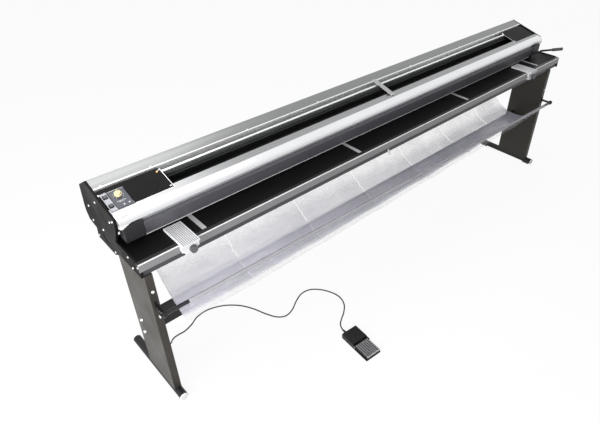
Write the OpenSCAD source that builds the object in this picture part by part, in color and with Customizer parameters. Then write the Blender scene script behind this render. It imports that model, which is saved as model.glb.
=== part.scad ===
// Motorised rotary trimmer on a two-leg stand, with a film catcher and a foot pedal.
// Lengths are millimetres. While the pieces are drawn, x = 0 is the middle of the table,
// y = 0 is the front of the table rail and z = 0 is the floor. The last step moves
// the middle of the whole outline to the origin.

/* [Table] */
// Length over the two end plates
table_len = 3056; // [2800:2:3300]
// Height of the table surface above the floor
table_z = 781; // [760:1:840]
// Depth from the front rail to the cutting edge
table_d = 212; // [200:1:230]
// Thickness of the table panel
table_t = 18; // [14:1:24]
// Depth of the front rail
rail_d = 22; // [18:1:30]
// Height of the front rail
rail_h = 36; // [30:1:40]
// Height of the steel beam under the table
beam_h = 45; // [43:1:60]
// Wall of the steel beam
beam_wall = 3; // [2:0.5:4]
// Thickness of the end plates and of the table end caps
end_t = 10; // [8:1:14]
// Width of the pale strips set into the table
strip_w = 20; // [12:1:30]
// Depth to which the strips are set in
strip_t = 1; // [0.5:0.5:3]
// Width of the steel counter blade along the rear edge
counter_t = 6; // [4:1:10]
// Height of the counter blade
counter_h = 14; // [10:1:18]

/* [Stand] */
// Thickness of a leg
leg_t = 32; // [26:1:34]
// Depth of a leg
leg_d = 228; // [200:1:250]
// Sheet thickness of a leg
leg_wall = 2; // [1.5:0.5:4]
// Gap from the left end plate to the left leg
left_leg_gap = 0; // [0:1:60]
// Gap from the right end plate to the right leg
right_leg_gap = 73; // [0:1:90]
// Diameter of a foot tube
foot_d = 38; // [36:1:48]
// Wall of a foot tube
foot_wall = 2.5; // [1.5:0.5:4]
// Reach of a foot tube in front of the leg
foot_front = 44; // [40:1:90]
// Rear end of a foot tube, from the front of the leg
foot_rear = 390; // [340:1:440]
// Thickness of a foot cap's face
foot_cap_t = 6; // [3:1:10]
// Thickness of the rubber glide under a foot tube
glide_t = 3; // [2:0.5:6]
// Depth of the stretcher beam
stretcher_d = 12; // [12:1:20]
// Height of the stretcher beam
stretcher_h = 115; // [100:1:116]
// Front of the stretcher beam, from the front of the legs
stretcher_y = 172; // [160:1:180]
// Height of the middle of the stretcher beam
stretcher_z = 307; // [240:1:307]
// Diameter of a stretcher bolt
bolt_d = 6; // [5:0.5:6]

/* [Film catcher] */
// Left end of the table to the left edge of the film
film_left = 130; // [100:1:300]
// Right edge of the film to the right end of the table
film_right = 181; // [170:1:300]
// Thickness of the film
film_t = 1.2; // [1:0.1:2]
// Distance between two packing folds in the film
fold_pitch = 419; // [300:1:600]
// How far the film swells between two folds
fold_swell = 7; // [0:1:12]
// Diameter of the front rod
rod_d = 16; // [12:1:20]
// Distance of the rod in front of the legs
rod_out = 62; // [50:1:80]
// Height of the left leg's plug
left_plug_z = 634; // [600:1:660]
// Height of the right leg's plug
right_plug_z = 577; // [560:1:660]
// Drop from a leg's plug to the rod
rod_drop = 73; // [60:1:90]
// Width of a hanger
hanger_w = 12; // [8:1:20]
// Depth of the batten that holds the film's rear edge
batten_d = 12; // [8:1:20]
// Height of the batten
batten_h = 20; // [14:1:30]

/* [Head] */
// Rise of the front bar's top edge above the table
head_rise = 122; // [120:1:140]
// Slope of the head's top, in degrees
head_slope = 15.3; // [12:0.1:17]
// Depth of the front bar
bar_w = 78; // [74:1:90]
// Front bar to the cutting edge
slot_front = 22; // [20:1:30]
// Cutting edge to the rear beam
slot_rear = 52; // [52:1:60]
// Depth of the rear beam and its cover
back_d = 177; // [170:1:200]
// Rear beam's front to the ridge of the cover
ridge_in = 85; // [70:1:95]
// Wall of the two long head profiles
head_wall = 5; // [3:0.5:7]
// Sheet thickness of the rear cover
cover_t = 3; // [2:0.5:4]
// Depth of the covers' seat below the head's top
lid_drop = 8; // [6:1:10]
// Thickness of the covers and panels
lid_t = 3; // [2:0.5:4]
// Length of the left cover
left_cover_len = 159; // [150:1:180]
// Length of the right cover
right_cover_len = 235; // [220:1:300]
// Width of the strap across the channel
strap_w = 25; // [15:1:40]
// Thickness of the strap
strap_t = 4; // [2:0.5:6]
// Diameter of the screw heads on the end plates
screw_head_d = 10; // [8:1:14]
// Height of those heads
screw_head_h = 3; // [2:0.5:5]

/* [Cutting carriage] */
// Diameter of the guide rod
guide_d = 16; // [12:1:18]
// Height of the guide rod above the table
guide_rise = 70; // [68:1:74]
// Length of the carriage
carriage_len = 124; // [100:1:130]
// Diameter of the round blade
blade_d = 70; // [60:1:80]
// Thickness of the blade
blade_t = 2; // [1:0.5:3]
// Depth of the blade's edge below the table
blade_dip = 3; // [2:0.5:5]
// Diameter of the blade's axle
axle_d = 12; // [8:1:14]
// Radius of the belt pulleys
pulley_r = 18; // [15:1:19]
// Width of the drive belt
belt_w = 9; // [6:0.5:9]
// Thickness of the drive belt
belt_t = 2; // [1.5:0.5:3]
// Diameter of the drive shaft and of the idler's axle
spindle_d = 10; // [8:1:12]

/* [Presser] */
// Gap under the raised presser
presser_gap = 8; // [8:0.5:9]
// Travel of the presser
presser_travel = 7; // [4:0.5:7]
// Height of the presser
presser_h = 72; // [66:1:74]
// Thickness of the presser's rubber lip
lip_t = 4; // [2:0.5:6]
// Length of a presser end block
block_len = 78; // [70:1:90]
// Diameter of a presser post
post_d = 10; // [8:1:12]
// Diameter of the presser shaft
shaft_d = 14; // [12:1:16]
// Swing of the lever that works the shaft, in degrees
lever_swing = 50; // [45:1:60]
// Length of the lever's outer arm
lever_arm = 146; // [120:1:170]
// Diameter of the lever's grip
grip_d = 20; // [16:1:24]

/* [Gauges] */
// Width of a sliding gauge
gauge_w = 75; // [60:1:90]
// Thickness of a gauge's ribbed plate
gauge_t = 9; // [6:1:12]
// Reach of the plate in front of the rail
gauge_front = 25; // [25:1:40]
// Number of grooves in the plate
gauge_grooves = 9; // [5:1:12]
// Left end of the table to the middle of the left gauge
left_gauge_in = 202; // [180:1:300]
// Right end of the table to the middle of the right gauge
right_gauge_in = 374; // [180:1:420]
// Diameter of a gauge's clamping knob
gauge_knob_d = 30; // [26:1:30]

/* [Controls] */
// Width of the strip that holds the two push buttons
switch_w = 25; // [24:1:28]
// Width of the control panel
panel_w = 63; // [50:1:66]
// Side of a push button
button_w = 17; // [12:1:18]
// Travel of a push button
button_travel = 3; // [2:0.5:4]
// Diameter of the selector knob
knob_d = 28; // [20:1:32]

/* [Pedal] */
// Width of the foot pedal
pedal_w = 91; // [80:1:100]
// Length of the foot pedal
pedal_len = 184; // [170:1:200]
// Height of the pedal's rear housing
pedal_h = 26; // [24:1:34]
// Turn of the pedal on the floor, in degrees
pedal_turn = -4; // [-8:1:0]
// Swing of the treadle, in degrees
treadle_swing = 4; // [3:0.5:4]
// Diameter of the treadle's pin
pin_d = 5; // [4:0.5:6]
// Diameter of the pedal's cord
cord_d = 7; // [6:0.5:8]

/* [Hidden] */
$fn = 64;

// Clearances: between seated pieces, of running fits on the radius, and between free pieces
seat_gap = 0.2;
fit_gap = 0.05;
free_gap = 0.4;

// Table and stand
half_len = table_len / 2;
inner_x = half_len - end_t;
panel_z = table_z - table_t;
leg_top = panel_z - beam_h;
rail_z = table_z - rail_h;
beam_y0 = 8;
beam_y1 = table_d - 12;
panel_y1 = table_d - counter_t;
left_leg_x = -inner_x + left_leg_gap;
right_leg_x = inner_x - right_leg_gap - leg_t;
foot_z = glide_t + foot_d / 2;
leg_plate_t = 4;
stretcher_z0 = stretcher_z - stretcher_h / 2;
stretcher_plate_t = 8;
bolt_pitch = stretcher_h - 41;
bolt_y = stretcher_y + stretcher_d / 2;
gland_y = leg_d - 23;
gland_z = 70;
gland_d = 14;
gland_len = 18;
// Middle of each pale strip: two near the ends of the cut, two on the open table
strip_x = [-half_len + 290, -374, 508, half_len - 243];

// Film catcher
rod_y = -rod_out;
left_hanger_x = left_leg_x + leg_t / 2;
right_hanger_x = right_leg_x + leg_t / 2;
rod_left = [left_hanger_x, rod_y, left_plug_z - rod_drop];
rod_right = [right_hanger_x, rod_y, right_plug_z - rod_drop];
rod_tilt = atan2(rod_right[2] - rod_left[2], rod_right[0] - rod_left[0]);
rod_end = 18;
film_x0 = -half_len + film_left;
film_x1 = half_len - film_right;

// Head, between the left end of the table and the outer face of the right leg
head_x0 = -inner_x;
head_x1 = inner_x - right_leg_gap;
head_mid = (head_x0 + head_x1) / 2;
head_half = (head_x1 - head_x0) / 2;
// Head, from the cutting edge
bar_y1 = table_d - slot_front;
bar_y0 = bar_y1 - bar_w;
back_y0 = table_d + slot_rear;
back_y1 = back_y0 + back_d;
ridge_y = back_y0 + ridge_in;
cover_y0 = back_y0 + 28;
box_y1 = back_y1 - 41;
back_z0 = table_z - 28;
nose_y = table_d - 39;
wing_y1 = nose_y - 0.5;
batten_y = back_y1 - 85;
batten_z = table_z - 87;
ledge_w = 22;
ledge_y = bar_y1 - ledge_w;
lip_w = 8;
groove_z = top(cover_y0) - 28;

// Presser and its crank shaft
presser_z0 = table_z + presser_gap;
presser_z1 = presser_z0 + presser_h;
presser_y = bar_y0 - 5;
presser_toe = presser_y + 24;
bar_z0 = presser_z1 + 1;
block_foot = 14;
block_top_z = presser_z1 - 2;
block_rise = 19;
block_x1 = head_half - 10;
block_cut = 27;
block_x0 = block_x1 - block_len;
post_x = head_half - 28;
post_y = table_d - 62;
yoke_t = 12;
yoke_w = 26;
crank_gap = 1;
web_t = 6;
crank_pin_d = 8;
crank_r = presser_travel / (2 * sin(lever_swing / 2));
shaft_y = post_y + crank_r;
shaft_z = leg_top + beam_h / 2;
crank_pin_y = shaft_y - crank_r * cos(lever_swing / 2);
crank_pin_z = shaft_z + crank_r * sin(lever_swing / 2);
web_d = 2 * (crank_r + crank_pin_d / 2) + 4;
bush_wall = 4;
lever_x = half_len + 12;
lever_t = 6;
lever_w = 12;
lever_rise = 20;
knee = [shaft_y - 14, shaft_z + 44];
lever_tip = knee + lever_arm * [-cos(lever_rise), sin(lever_rise)];
grip_len = 70;

// Carriage and drive
guide_y = table_d + 34;
guide_z = table_z + guide_rise;
left_cover_x = head_x0 + 6 + switch_w + 2 + panel_w + 2;
right_cover_x = head_x1 - 6 - right_cover_len;
carriage_x = left_cover_x + left_cover_len / 2;
blade_z = table_z - blade_dip + blade_d / 2;
blade_y = table_d + 0.3;
pulley_y = back_y0 - 2 - belt_w - 3;
pulley_z = guide_z + guide_d / 2 + 34;
idler_x = left_cover_x + 20;
drive_x = head_x1 - 60;
arm_y0 = table_d + 6;
arm_y1 = guide_y - guide_d / 2 - 6;
run_z = pulley_z - pulley_r - 0.3 - belt_t;
block_top = run_z - 4;

// Gauges
gauge_y1 = presser_toe - 13;
gauge_z = table_z + free_gap;
clamp_t = 14;
clamp_z = rail_z - free_gap - 8;
gauge_knob_x = 15;
gauge_knob_z = rail_z + 3;
left_gauge_x = -half_len + left_gauge_in;
right_gauge_x = half_len - right_gauge_in;

// Controls
switch_x = head_x0 + 6 + switch_w / 2;
panel_x = head_x0 + 6 + switch_w + 2 + panel_w / 2;
button_y = [table_d - 13, table_d + 34];
knob_y = table_d + 26;
panel_y0 = ledge_y + 6;
panel_back = back_y0 + 4;

// Pedal
pedal_at = [-715, -361];
pedal_floor = 5;
pedal_round = 4;
hinge_v = -2;
hinge_z = 16;
treadle_t = 9;
treadle_gap = 1;
cord_u = -16;
cord_in_z = 13;
pedal_boss = 8;

// Middle of the outline, which becomes the origin
inlet_flange = 2;
outline_x = [-half_len - screw_head_h, lever_x + grip_d / 2];
pedal_reach = (pedal_len / 2 - pedal_round) * cos(pedal_turn)
    + (pedal_w / 2 - pedal_round) * abs(sin(pedal_turn)) + pedal_round;
outline_y = [pedal_at[1] - pedal_reach, back_y1 + inlet_flange];
origin_shift = [-(outline_x[0] + outline_x[1]) / 2, -(outline_y[0] + outline_y[1]) / 2, 0];

// The pedal cord's route on the floor, from the left leg to the pedal
cord_z = cord_d / 2 + 0.2;
gland_end = [left_leg_x + leg_t + gland_len, gland_y, gland_z];
cord_route = [
    gland_end, gland_end + [18, 0.5, -0.4], gland_end + [38, 7, -6], gland_end + [56, 21, -18],
    gland_end + [71, 41, -34], gland_end + [85, 63, -50], gland_end + [104, 80, -61],
    [-1338, 291, cord_z + 0.7], [-1302, 291, cord_z], [-1258, 304, cord_z], [-1206, 330, cord_z],
    [-1140, 334, cord_z], [-1065, 304, cord_z], [-1003, 248, cord_z], [-964, 182, cord_z],
    [-938, 112, cord_z], [-908, 54, cord_z], [-868, 28, cord_z], [-818, 38, cord_z],
    [-760, 72, cord_z], [-705, 93, cord_z], [-652, 84, cord_z], [-608, 42, cord_z],
    [-580, -15, cord_z], [-573, -66, cord_z], [-592, -118, cord_z], [-634, -158, cord_z],
    [-671, -180, cord_z + 0.3], [-700, -202, cord_z + 2.1], [-717, -227, cord_z + 5.7],
    pedal_point(cord_u, pedal_len / 2 + pedal_boss + 12, cord_in_z - 0.8),
    pedal_point(cord_u, pedal_len / 2 + pedal_boss, cord_in_z)
];
cord_steps = 3;
cord_sides = 8;

// Height of the head's sloping top at depth y
function top(y) = table_z + head_rise + (y - bar_y0) * tan(head_slope);
function seat(y) = top(y) - lid_drop;

function unit(v) = v / norm(v);
function left_of(v) = [-v[1], v[0]];
function mix(a, b, t) = a + (b - a) * t;

// Corner i of a path, moved to its left by d
function beside(path, i, d) =
    let (last = len(path) - 1,
         a = left_of(unit(path[max(i, 1)] - path[max(i, 1) - 1])),
         b = left_of(unit(path[min(i, last - 1) + 1] - path[min(i, last - 1)])))
    path[i] + d * (a + b) / (1 + a * b);
function sheet(path, d) = concat(path, [for (i = [len(path) - 1:-1:0]) beside(path, i, d)]);
// Four corners of a flat bar of width w from p to q
function bar_outline(p, q, w) =
    let (side = left_of(unit(q - p)) * w / 2) [p - side, q - side, q + side, p + side];
function arc(c, r, a0, a1, n = 8) = [for (i = [0:n]) let (a = mix(a0, a1, i / n)) c + r * [cos(a), sin(a)]];

// A point of the pedal: u across it, v along it to the rear, z up
function pedal_point(u, v, z) = [
    pedal_at[0] + u * cos(pedal_turn) - v * sin(pedal_turn),
    pedal_at[1] + u * sin(pedal_turn) + v * cos(pedal_turn), z];

// Extrudes an outline of [y, z] points from x0 to x1
module along_x(x0, x1, outline) {
    translate([x0, 0, 0]) rotate([90, 0, 90]) linear_extrude(x1 - x0) polygon(outline);
}
module rod_x(d, x0, x1, y, z) {
    translate([x0, y, z]) rotate([0, 90, 0]) cylinder(d = d, h = x1 - x0);
}
module rod_y(d, y0, y1, x, z) {
    translate([x, y0, z]) rotate([-90, 0, 0]) cylinder(d = d, h = y1 - y0);
}
module rod_z(d, z0, z1, x, y) {
    translate([x, y, z0]) cylinder(d = d, h = z1 - z0);
}
module box(low, high) {
    translate(low) cube(high - low);
}
module both_ends() {
    children();
    mirror([1, 0, 0]) children();
}
module head_ends() {
    translate([head_mid, 0, 0]) both_ends() children();
}
// Puts children on the head's covers: z = 0 is the covers' underside at depth y
module on_head(x, y) {
    translate([x, y, seat(y)]) rotate([head_slope, 0, 0]) children();
}
module at_pedal() {
    translate([pedal_at[0], pedal_at[1], 0]) rotate(pedal_turn) children();
}
module at_feet() {
    for (x = [left_leg_x, right_leg_x])
        translate([x + leg_t / 2, 0, foot_z]) children();
}
module in_frame() {
    translate(origin_shift) children();
}

// Stand
module leg(x0) {
    difference() {
        box([x0, 0, foot_z], [x0 + leg_t, leg_d, leg_top]);
        box([x0 + leg_wall, leg_wall, 0], [x0 + leg_t - leg_wall, leg_d - leg_wall, leg_top - leg_plate_t]);
        rod_y(foot_d, -1, leg_d + 1, x0 + leg_t / 2, foot_z);
        for (side = [-1, 1])
            rod_x(bolt_d + 2 * seat_gap, x0 - 1, x0 + leg_t + 1, bolt_y, stretcher_z + side * bolt_pitch / 2);
    }
}
plug_d = 6;
module plug_hole(x, z) {
    rod_y(plug_d + 2 * seat_gap, -1, leg_wall + 1, x, z);
}

module left_leg() {
    color("dimgray") difference() {
        leg(left_leg_x);
        plug_hole(left_hanger_x, left_plug_z);
        rod_x(gland_d, left_leg_x + leg_t - leg_wall - 1, left_leg_x + leg_t + 1, gland_y, gland_z);
    }
}
module right_leg() {
    color("dimgray") difference() {
        leg(right_leg_x);
        plug_hole(right_hanger_x, right_plug_z);
    }
}
module foot_tubes() {
    color("dimgray") at_feet() difference() {
        rod_y(foot_d, -foot_front, foot_rear, 0, 0);
        rod_y(foot_d - 2 * foot_wall, -foot_front - 1, foot_rear + 1, 0, 0);
    }
}
module foot_plug(y, out) {
    translate([0, y, 0]) rotate([out * 90, 0, 0]) {
        rotate_extrude() polygon(concat([[0, 0], [foot_d / 2, 0]],
            arc([foot_d / 2 - foot_cap_t, 0], foot_cap_t, 15, 90), [[0, foot_cap_t]]));
        translate([0, 0, -12]) cylinder(d = foot_d - 2 * foot_wall - 2 * seat_gap, h = 12);
    }
}
module foot_caps_front() {
    color("lightgray") at_feet() foot_plug(-foot_front, 1);
}
module foot_caps_rear() {
    color("black") at_feet() foot_plug(foot_rear, -1);
}
module foot_glides() {
    color("black") difference() {
        at_feet() for (y = [-foot_front + 12, foot_rear - 62])
            box([-13, y, -foot_z], [13, y + 50, -foot_d / 2 + 6]);
        at_feet() rod_y(foot_d, -foot_front - 1, foot_rear + 1, 0, 0);
    }
}
module stretcher_beam() {
    x0 = left_leg_x + leg_t;
    x1 = right_leg_x;
    wall = 2.5;
    color("black") difference() {
        box([x0, stretcher_y, stretcher_z0], [x1, stretcher_y + stretcher_d, stretcher_z0 + stretcher_h]);
        box([x0 + stretcher_plate_t, stretcher_y + wall, stretcher_z0 + wall],
            [x1 - stretcher_plate_t, stretcher_y + stretcher_d - wall, stretcher_z0 + stretcher_h - wall]);
        for (side = [-1, 1], x = [x0, x1])
            rod_x(bolt_d + 2 * seat_gap, x - stretcher_plate_t - 1, x + stretcher_plate_t + 1,
                bolt_y, stretcher_z + side * bolt_pitch / 2);
    }
}
module stretcher_bolt(z) {
    head_h = 6;
    head_d = bolt_d + 10;
    rod_x(bolt_d, 0, leg_t + stretcher_plate_t, bolt_y, z);
    translate([-head_h, bolt_y, z]) rotate([0, 90, 0]) cylinder(d1 = head_d - 4, d2 = head_d, h = head_h);
}
module stretcher_bolts() {
    color("silver") for (side = [-1, 1]) {
        z = stretcher_z + side * bolt_pitch / 2;
        translate([left_leg_x, 0, 0]) stretcher_bolt(z);
        translate([right_leg_x + leg_t, 0, 0]) mirror([1, 0, 0]) stretcher_bolt(z);
    }
}

// Film catcher
module along_rod(p) {
    translate(p) rotate([0, 90 - rod_tilt, 0]) children();
}
// A plate on the leg's front and a straight arm to a ring around the rod
module rod_hanger(p) {
    x0 = p[0] - hanger_w / 2;
    x1 = p[0] + hanger_w / 2;
    difference() {
        union() {
            box([x0, -5, p[2] - 18], [x1, 0, p[2] + 18]);
            box([x0, p[1], p[2] - 5], [x1, -4, p[2] + 5]);
            rod_x(rod_d + 10, x0, x1, p[1], p[2]);
        }
        along_rod(p) cylinder(d = rod_d + 2 * seat_gap, h = 4 * hanger_w, center = true);
    }
}
module rod_hangers() {
    color("black") {
        rod_hanger(rod_left);
        rod_hanger(rod_right);
    }
}
module leg_plug(x, z) {
    rod_y(12, -4, 0, x, z);
    rod_y(plug_d, -1, leg_wall, x, z);
}
module leg_plugs() {
    color("white") {
        leg_plug(left_hanger_x, left_plug_z);
        leg_plug(right_hanger_x, right_plug_z);
    }
}
module film_rod() {
    color("gray") along_rod(rod_left)
        translate([0, 0, -rod_end]) cylinder(d = rod_d, h = norm(rod_right - rod_left) + 2 * rod_end);
}

// The film hangs from the batten to the rod. Its section is one Bezier curve, whose two
// handles pass from the left edge's to the right edge's. Between the edges it sags forward.
film_rear = [batten_y - free_gap - film_t, batten_z + batten_h - 4];
film_handles = [[[364, 732], [-74, 126]], [[426, 295], [-26, 306]]];
film_sag = [-53, 0];
film_rows = 12;
fold_steps = 6;
first_fold = film_x0 - 71;
film_columns = concat([film_x0],
    [for (i = [1:200]) let (x = first_fold + i * fold_pitch / fold_steps)
        if (x > film_x0 + 8 && x < film_x1 - 8) x],
    [film_x1]);
function film_front(x) =
    let (t = (x - rod_left[0]) / (rod_right[0] - rod_left[0]))
    [rod_y + rod_d / 2 + free_gap, mix(rod_left[2], rod_right[2], t)];
function film_curve(x, t) =
    let (s = (x - film_x0) / (film_x1 - film_x0),
         near = mix(film_handles[0][0], film_handles[1][0], s),
         far = mix(film_handles[0][1], film_handles[1][1], s) + film_sag * sqrt(max(0, 4 * s * (1 - s))))
    pow(1 - t, 3) * film_rear + 3 * pow(1 - t, 2) * t * near
    + 3 * (1 - t) * t * t * far + pow(t, 3) * film_front(x);
// How far the film swells outward at x, as a share of its greatest
function film_swell(x) = abs(sin(180 * (x - first_fold) / fold_pitch));
function film_section(x) =
    let (plain = [for (j = [0:film_rows]) film_curve(x, j / film_rows)])
    [for (j = [0:film_rows]) beside(plain, j, -film_swell(x) * fold_swell * sin(180 * j / film_rows))];
function film_ring(x) = [for (p = sheet(film_section(x), -film_t)) [x, p[0], p[1]]];
// Triangles of a skin over rings of m points, closed by strips at both ends
function skin_faces(n, m) = [for (i = [0:n - 2], j = [0:m - 1])
    let (k = (j + 1) % m) each [[i * m + j, i * m + k, (i + 1) * m + k],
        [i * m + j, (i + 1) * m + k, (i + 1) * m + j]]];
function strip_faces(first, m, flip) = [for (j = [0:m / 2 - 2])
    let (a = first + j, b = first + j + 1, c = first + m - 2 - j, d = first + m - 1 - j)
    each flip ? [[a, c, b], [a, d, c]] : [[a, b, c], [a, c, d]]];
module catch_film() {
    rings = [for (x = film_columns) film_ring(x)];
    n = len(rings);
    m = len(rings[0]);
    color("lavender") polyhedron([for (r = rings) each r],
        concat(skin_faces(n, m), strip_faces(0, m, true), strip_faces((n - 1) * m, m, false)));
}
module film_batten() {
    color("silver") box([head_x0, batten_y, batten_z], [head_x1, batten_y + batten_d, batten_z + batten_h]);
}

// Table
module post_holes(d) {
    head_ends() rod_z(d, leg_top + beam_wall + 1, table_z + 1, post_x, post_y);
}
// A length of the beam whose rear face is at y1
module beam_tube(x0, x1, y1) {
    w = beam_wall;
    difference() {
        along_x(x0, x1, [[beam_y0, leg_top], [y1, leg_top], [y1, panel_z], [rail_d, panel_z],
            [rail_d, rail_z], [beam_y0, rail_z]]);
        along_x(x0 - 1, x1 + 1, [[beam_y0 + w, leg_top + w], [y1 - w, leg_top + w], [y1 - w, panel_z - w],
            [rail_d + w, panel_z - w], [rail_d + w, rail_z - w], [beam_y0 + w, rail_z - w]]);
    }
}
module table_beam() {
    color("black") difference() {
        union() {
            beam_tube(-inner_x, head_x1, beam_y1);
            beam_tube(head_x1, inner_x, wing_y1);
        }
        post_holes(post_d + 2 * bush_wall);
    }
}
module table_top() {
    color([0.1, 0.1, 0.1]) difference() {
        union() {
            box([-inner_x, rail_d, panel_z], [head_x1, panel_y1, table_z]);
            box([head_x1, rail_d, panel_z], [inner_x, wing_y1, table_z]);
        }
        for (x = strip_x)
            box([x - strip_w / 2, rail_d + 2, table_z - strip_t],
                [x + strip_w / 2, panel_y1 - 4, table_z + 1]);
        post_holes(post_d + 2 * bush_wall);
    }
}
module ruler_strips() {
    color("lightgray") for (x = strip_x)
        box([x - strip_w / 2, rail_d + 2, table_z - strip_t], [x + strip_w / 2, panel_y1 - 4, table_z]);
}
module front_rail() {
    wall = 4;
    chamfer = 3;
    color("gray") difference() {
        along_x(-half_len, half_len, [[0, rail_z], [rail_d, rail_z], [rail_d, table_z], [chamfer, table_z],
            [0, table_z - chamfer]]);
        along_x(-half_len - 1, half_len + 1, [[wall, rail_z + wall], [rail_d - wall, rail_z + wall],
            [rail_d - wall, table_z - wall], [wall, table_z - wall]]);
    }
}
module table_cap() {
    round_r = 8;
    rise = 3;
    difference() {
        along_x(inner_x, half_len, concat([[0, leg_top], [wing_y1, leg_top], [wing_y1, table_z + rise]],
            arc([rail_d + round_r, table_z + rise - round_r], round_r, 90, 180),
            [[rail_d, rail_z], [0, rail_z]]));
        rod_x(shaft_d + 2 * bush_wall, inner_x - 1, half_len + 1, shaft_y, shaft_z);
        for (p = cap_screws)
            rod_x(screw_d + 2 * seat_gap, inner_x - 1, half_len + 1, p[0], p[1]);
    }
}
module table_caps() {
    color([0.15, 0.15, 0.15]) both_ends() table_cap();
}
module counter_blade() {
    color("silver") box([head_x0, panel_y1, table_z - counter_h], [head_x1, table_d, table_z]);
}

// Head
screw_d = 5;
cap_screws = [[84, table_z - 14], [60, leg_top + 12]];
plate_screws = [
    [bar_y0 + 36, top(bar_y0 + 36) - 20], [bar_y1 - 12, bar_z0 + 12],
    [back_y0 + 22, groove_z - 18], [box_y1 - 20, table_z + 60], [back_y0 + 20, table_z - 4],
    [box_y1 - 24, table_z - 8], [table_d + 2, table_z - 74],
    [batten_y + batten_d / 2, batten_z + batten_h / 2]
];
module end_plate() {
    slot_at = [table_d + 80, table_z - 58];
    slot_l = 52;
    slot_w = 12;
    slot_turn = 38;
    difference() {
        along_x(head_half, head_half + end_t, [
            [bar_y0 + 19, top(bar_y0 + 19)], [bar_y0 + 28, table_z + 72], [nose_y, table_z + 4],
            [nose_y, table_z - 57], [nose_y + 20, table_z - 75], [table_d + 14, table_z - 95],
            [back_y1 - 63, table_z - 95], [back_y1 - 72, table_z - 42], [back_y1 - 12, table_z - 30],
            [back_y1, table_z + 6], [back_y1, table_z + 28], [back_y1 - 19, table_z + 139],
            [ridge_y, top(ridge_y)]]);
        translate([head_half - 1, slot_at[0], slot_at[1]]) rotate([slot_turn, 0, 0]) {
            for (side = [-1, 1])
                rod_x(slot_w, 0, end_t + 2, side * (slot_l - slot_w) / 2, 0);
            box([0, -(slot_l - slot_w) / 2, -slot_w / 2], [end_t + 2, (slot_l - slot_w) / 2, slot_w / 2]);
        }
        for (p = plate_screws)
            rod_x(screw_d + 2 * seat_gap, head_half - 1, head_half + end_t + 1, p[0], p[1]);
    }
}
module left_end_plate() {
    color([0.16, 0.15, 0.14]) translate([head_mid, 0, 0]) mirror([1, 0, 0]) end_plate();
}
module right_end_plate() {
    color([0.16, 0.15, 0.14]) translate([head_mid, 0, 0]) end_plate();
}
module end_screw(x, p) {
    rod_x(screw_d, x, x + end_t, p[0], p[1]);
    rod_x(screw_head_d, x + end_t, x + end_t + screw_head_h, p[0], p[1]);
}
module end_screws() {
    color("white") {
        head_ends() for (p = plate_screws) end_screw(head_half, p);
        both_ends() for (p = cap_screws) end_screw(inner_x, p);
    }
}
module front_bar() {
    nose = top(bar_y0) - 5;
    face_h = 14;
    undercut = 16;
    w = head_wall;
    color("gainsboro") difference() {
        along_x(head_x0, head_x1, [
            [bar_y0, nose - face_h], [bar_y0 + undercut, nose - face_h - 4], [bar_y0 + undercut, bar_z0],
            [bar_y1, bar_z0], [bar_y1, seat(bar_y1)], [ledge_y, seat(ledge_y)],
            [ledge_y - 2, top(ledge_y - 2)], [bar_y0 + 5, top(bar_y0 + 5)], [bar_y0, nose]]);
        along_x(head_x0 - 1, head_x1 + 1, [
            [bar_y0 + undercut + w, bar_z0 + w], [bar_y1 - w, bar_z0 + w],
            [bar_y1 - w, seat(bar_y1) - 1.5 * w], [ledge_y, seat(ledge_y) - 1.2 * w],
            [bar_y0 + undercut + w, top(bar_y0 + undercut) - 1.5 * w]]);
    }
}
module rear_beam() {
    w = head_wall;
    color([0.12, 0.12, 0.13]) difference() {
        along_x(head_x0, head_x1, [
            [back_y0, back_z0], [box_y1, back_z0], [box_y1, table_z + 110], [cover_y0 + 18, groove_z],
            [back_y0 + lip_w, groove_z], [back_y0 + lip_w, seat(back_y0 + lip_w)], [back_y0, seat(back_y0)]]);
        along_x(head_x0 - 1, head_x1 + 1, [
            [back_y0 + w, back_z0 + w], [box_y1 - w, back_z0 + w], [box_y1 - w, table_z + 110 - w],
            [cover_y0 + 18 - w, groove_z - 1.5 * w], [back_y0 + w, groove_z - 1.5 * w]]);
        rod_y(spindle_d + 12, back_y0 - 1, back_y0 + w + 1, drive_x, pulley_z);
        rod_y(spindle_d, back_y0 - 1, back_y0 + w + 1, idler_x, pulley_z);
    }
}
module rear_cover() {
    color("silver") difference() {
        along_x(head_x0, head_x1, sheet([
            [box_y1, back_z0 - cover_t], [back_y1 - 12, table_z - 30], [back_y1, table_z + 6],
            [back_y1, table_z + 28], [back_y1 - 19, table_z + 139], [ridge_y, top(ridge_y)],
            [cover_y0, top(cover_y0)], [cover_y0, groove_z]], cover_t));
        inlet_body(seat_gap);
    }
}
module guide_rod() {
    color("silver") rod_x(guide_d, head_x0, head_x1, guide_y, guide_z);
}
module cross_strap() {
    y0 = bar_y0 + 46;
    y1 = cover_y0 + 8;
    color("lightgray") along_x(-strap_w / 2, strap_w / 2, sheet([[y0, top(y0)], [y1, top(y1)]], strap_t));
}
module lid(x0, x1, y0, y1) {
    along_x(x0, x1, sheet([[y0, seat(y0)], [y1, seat(y1)]], lid_t));
}
module left_top_cover() {
    color("black") {
        lid(left_cover_x, left_cover_x + left_cover_len, ledge_y + 4, cover_y0 - 6);
        lid(head_x0 + 6, left_cover_x + 1, panel_back + 1, cover_y0 - 6);
    }
}
module right_top_cover() {
    color("black") lid(right_cover_x, right_cover_x + right_cover_len, ledge_y + 4, cover_y0 - 6);
}

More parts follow.
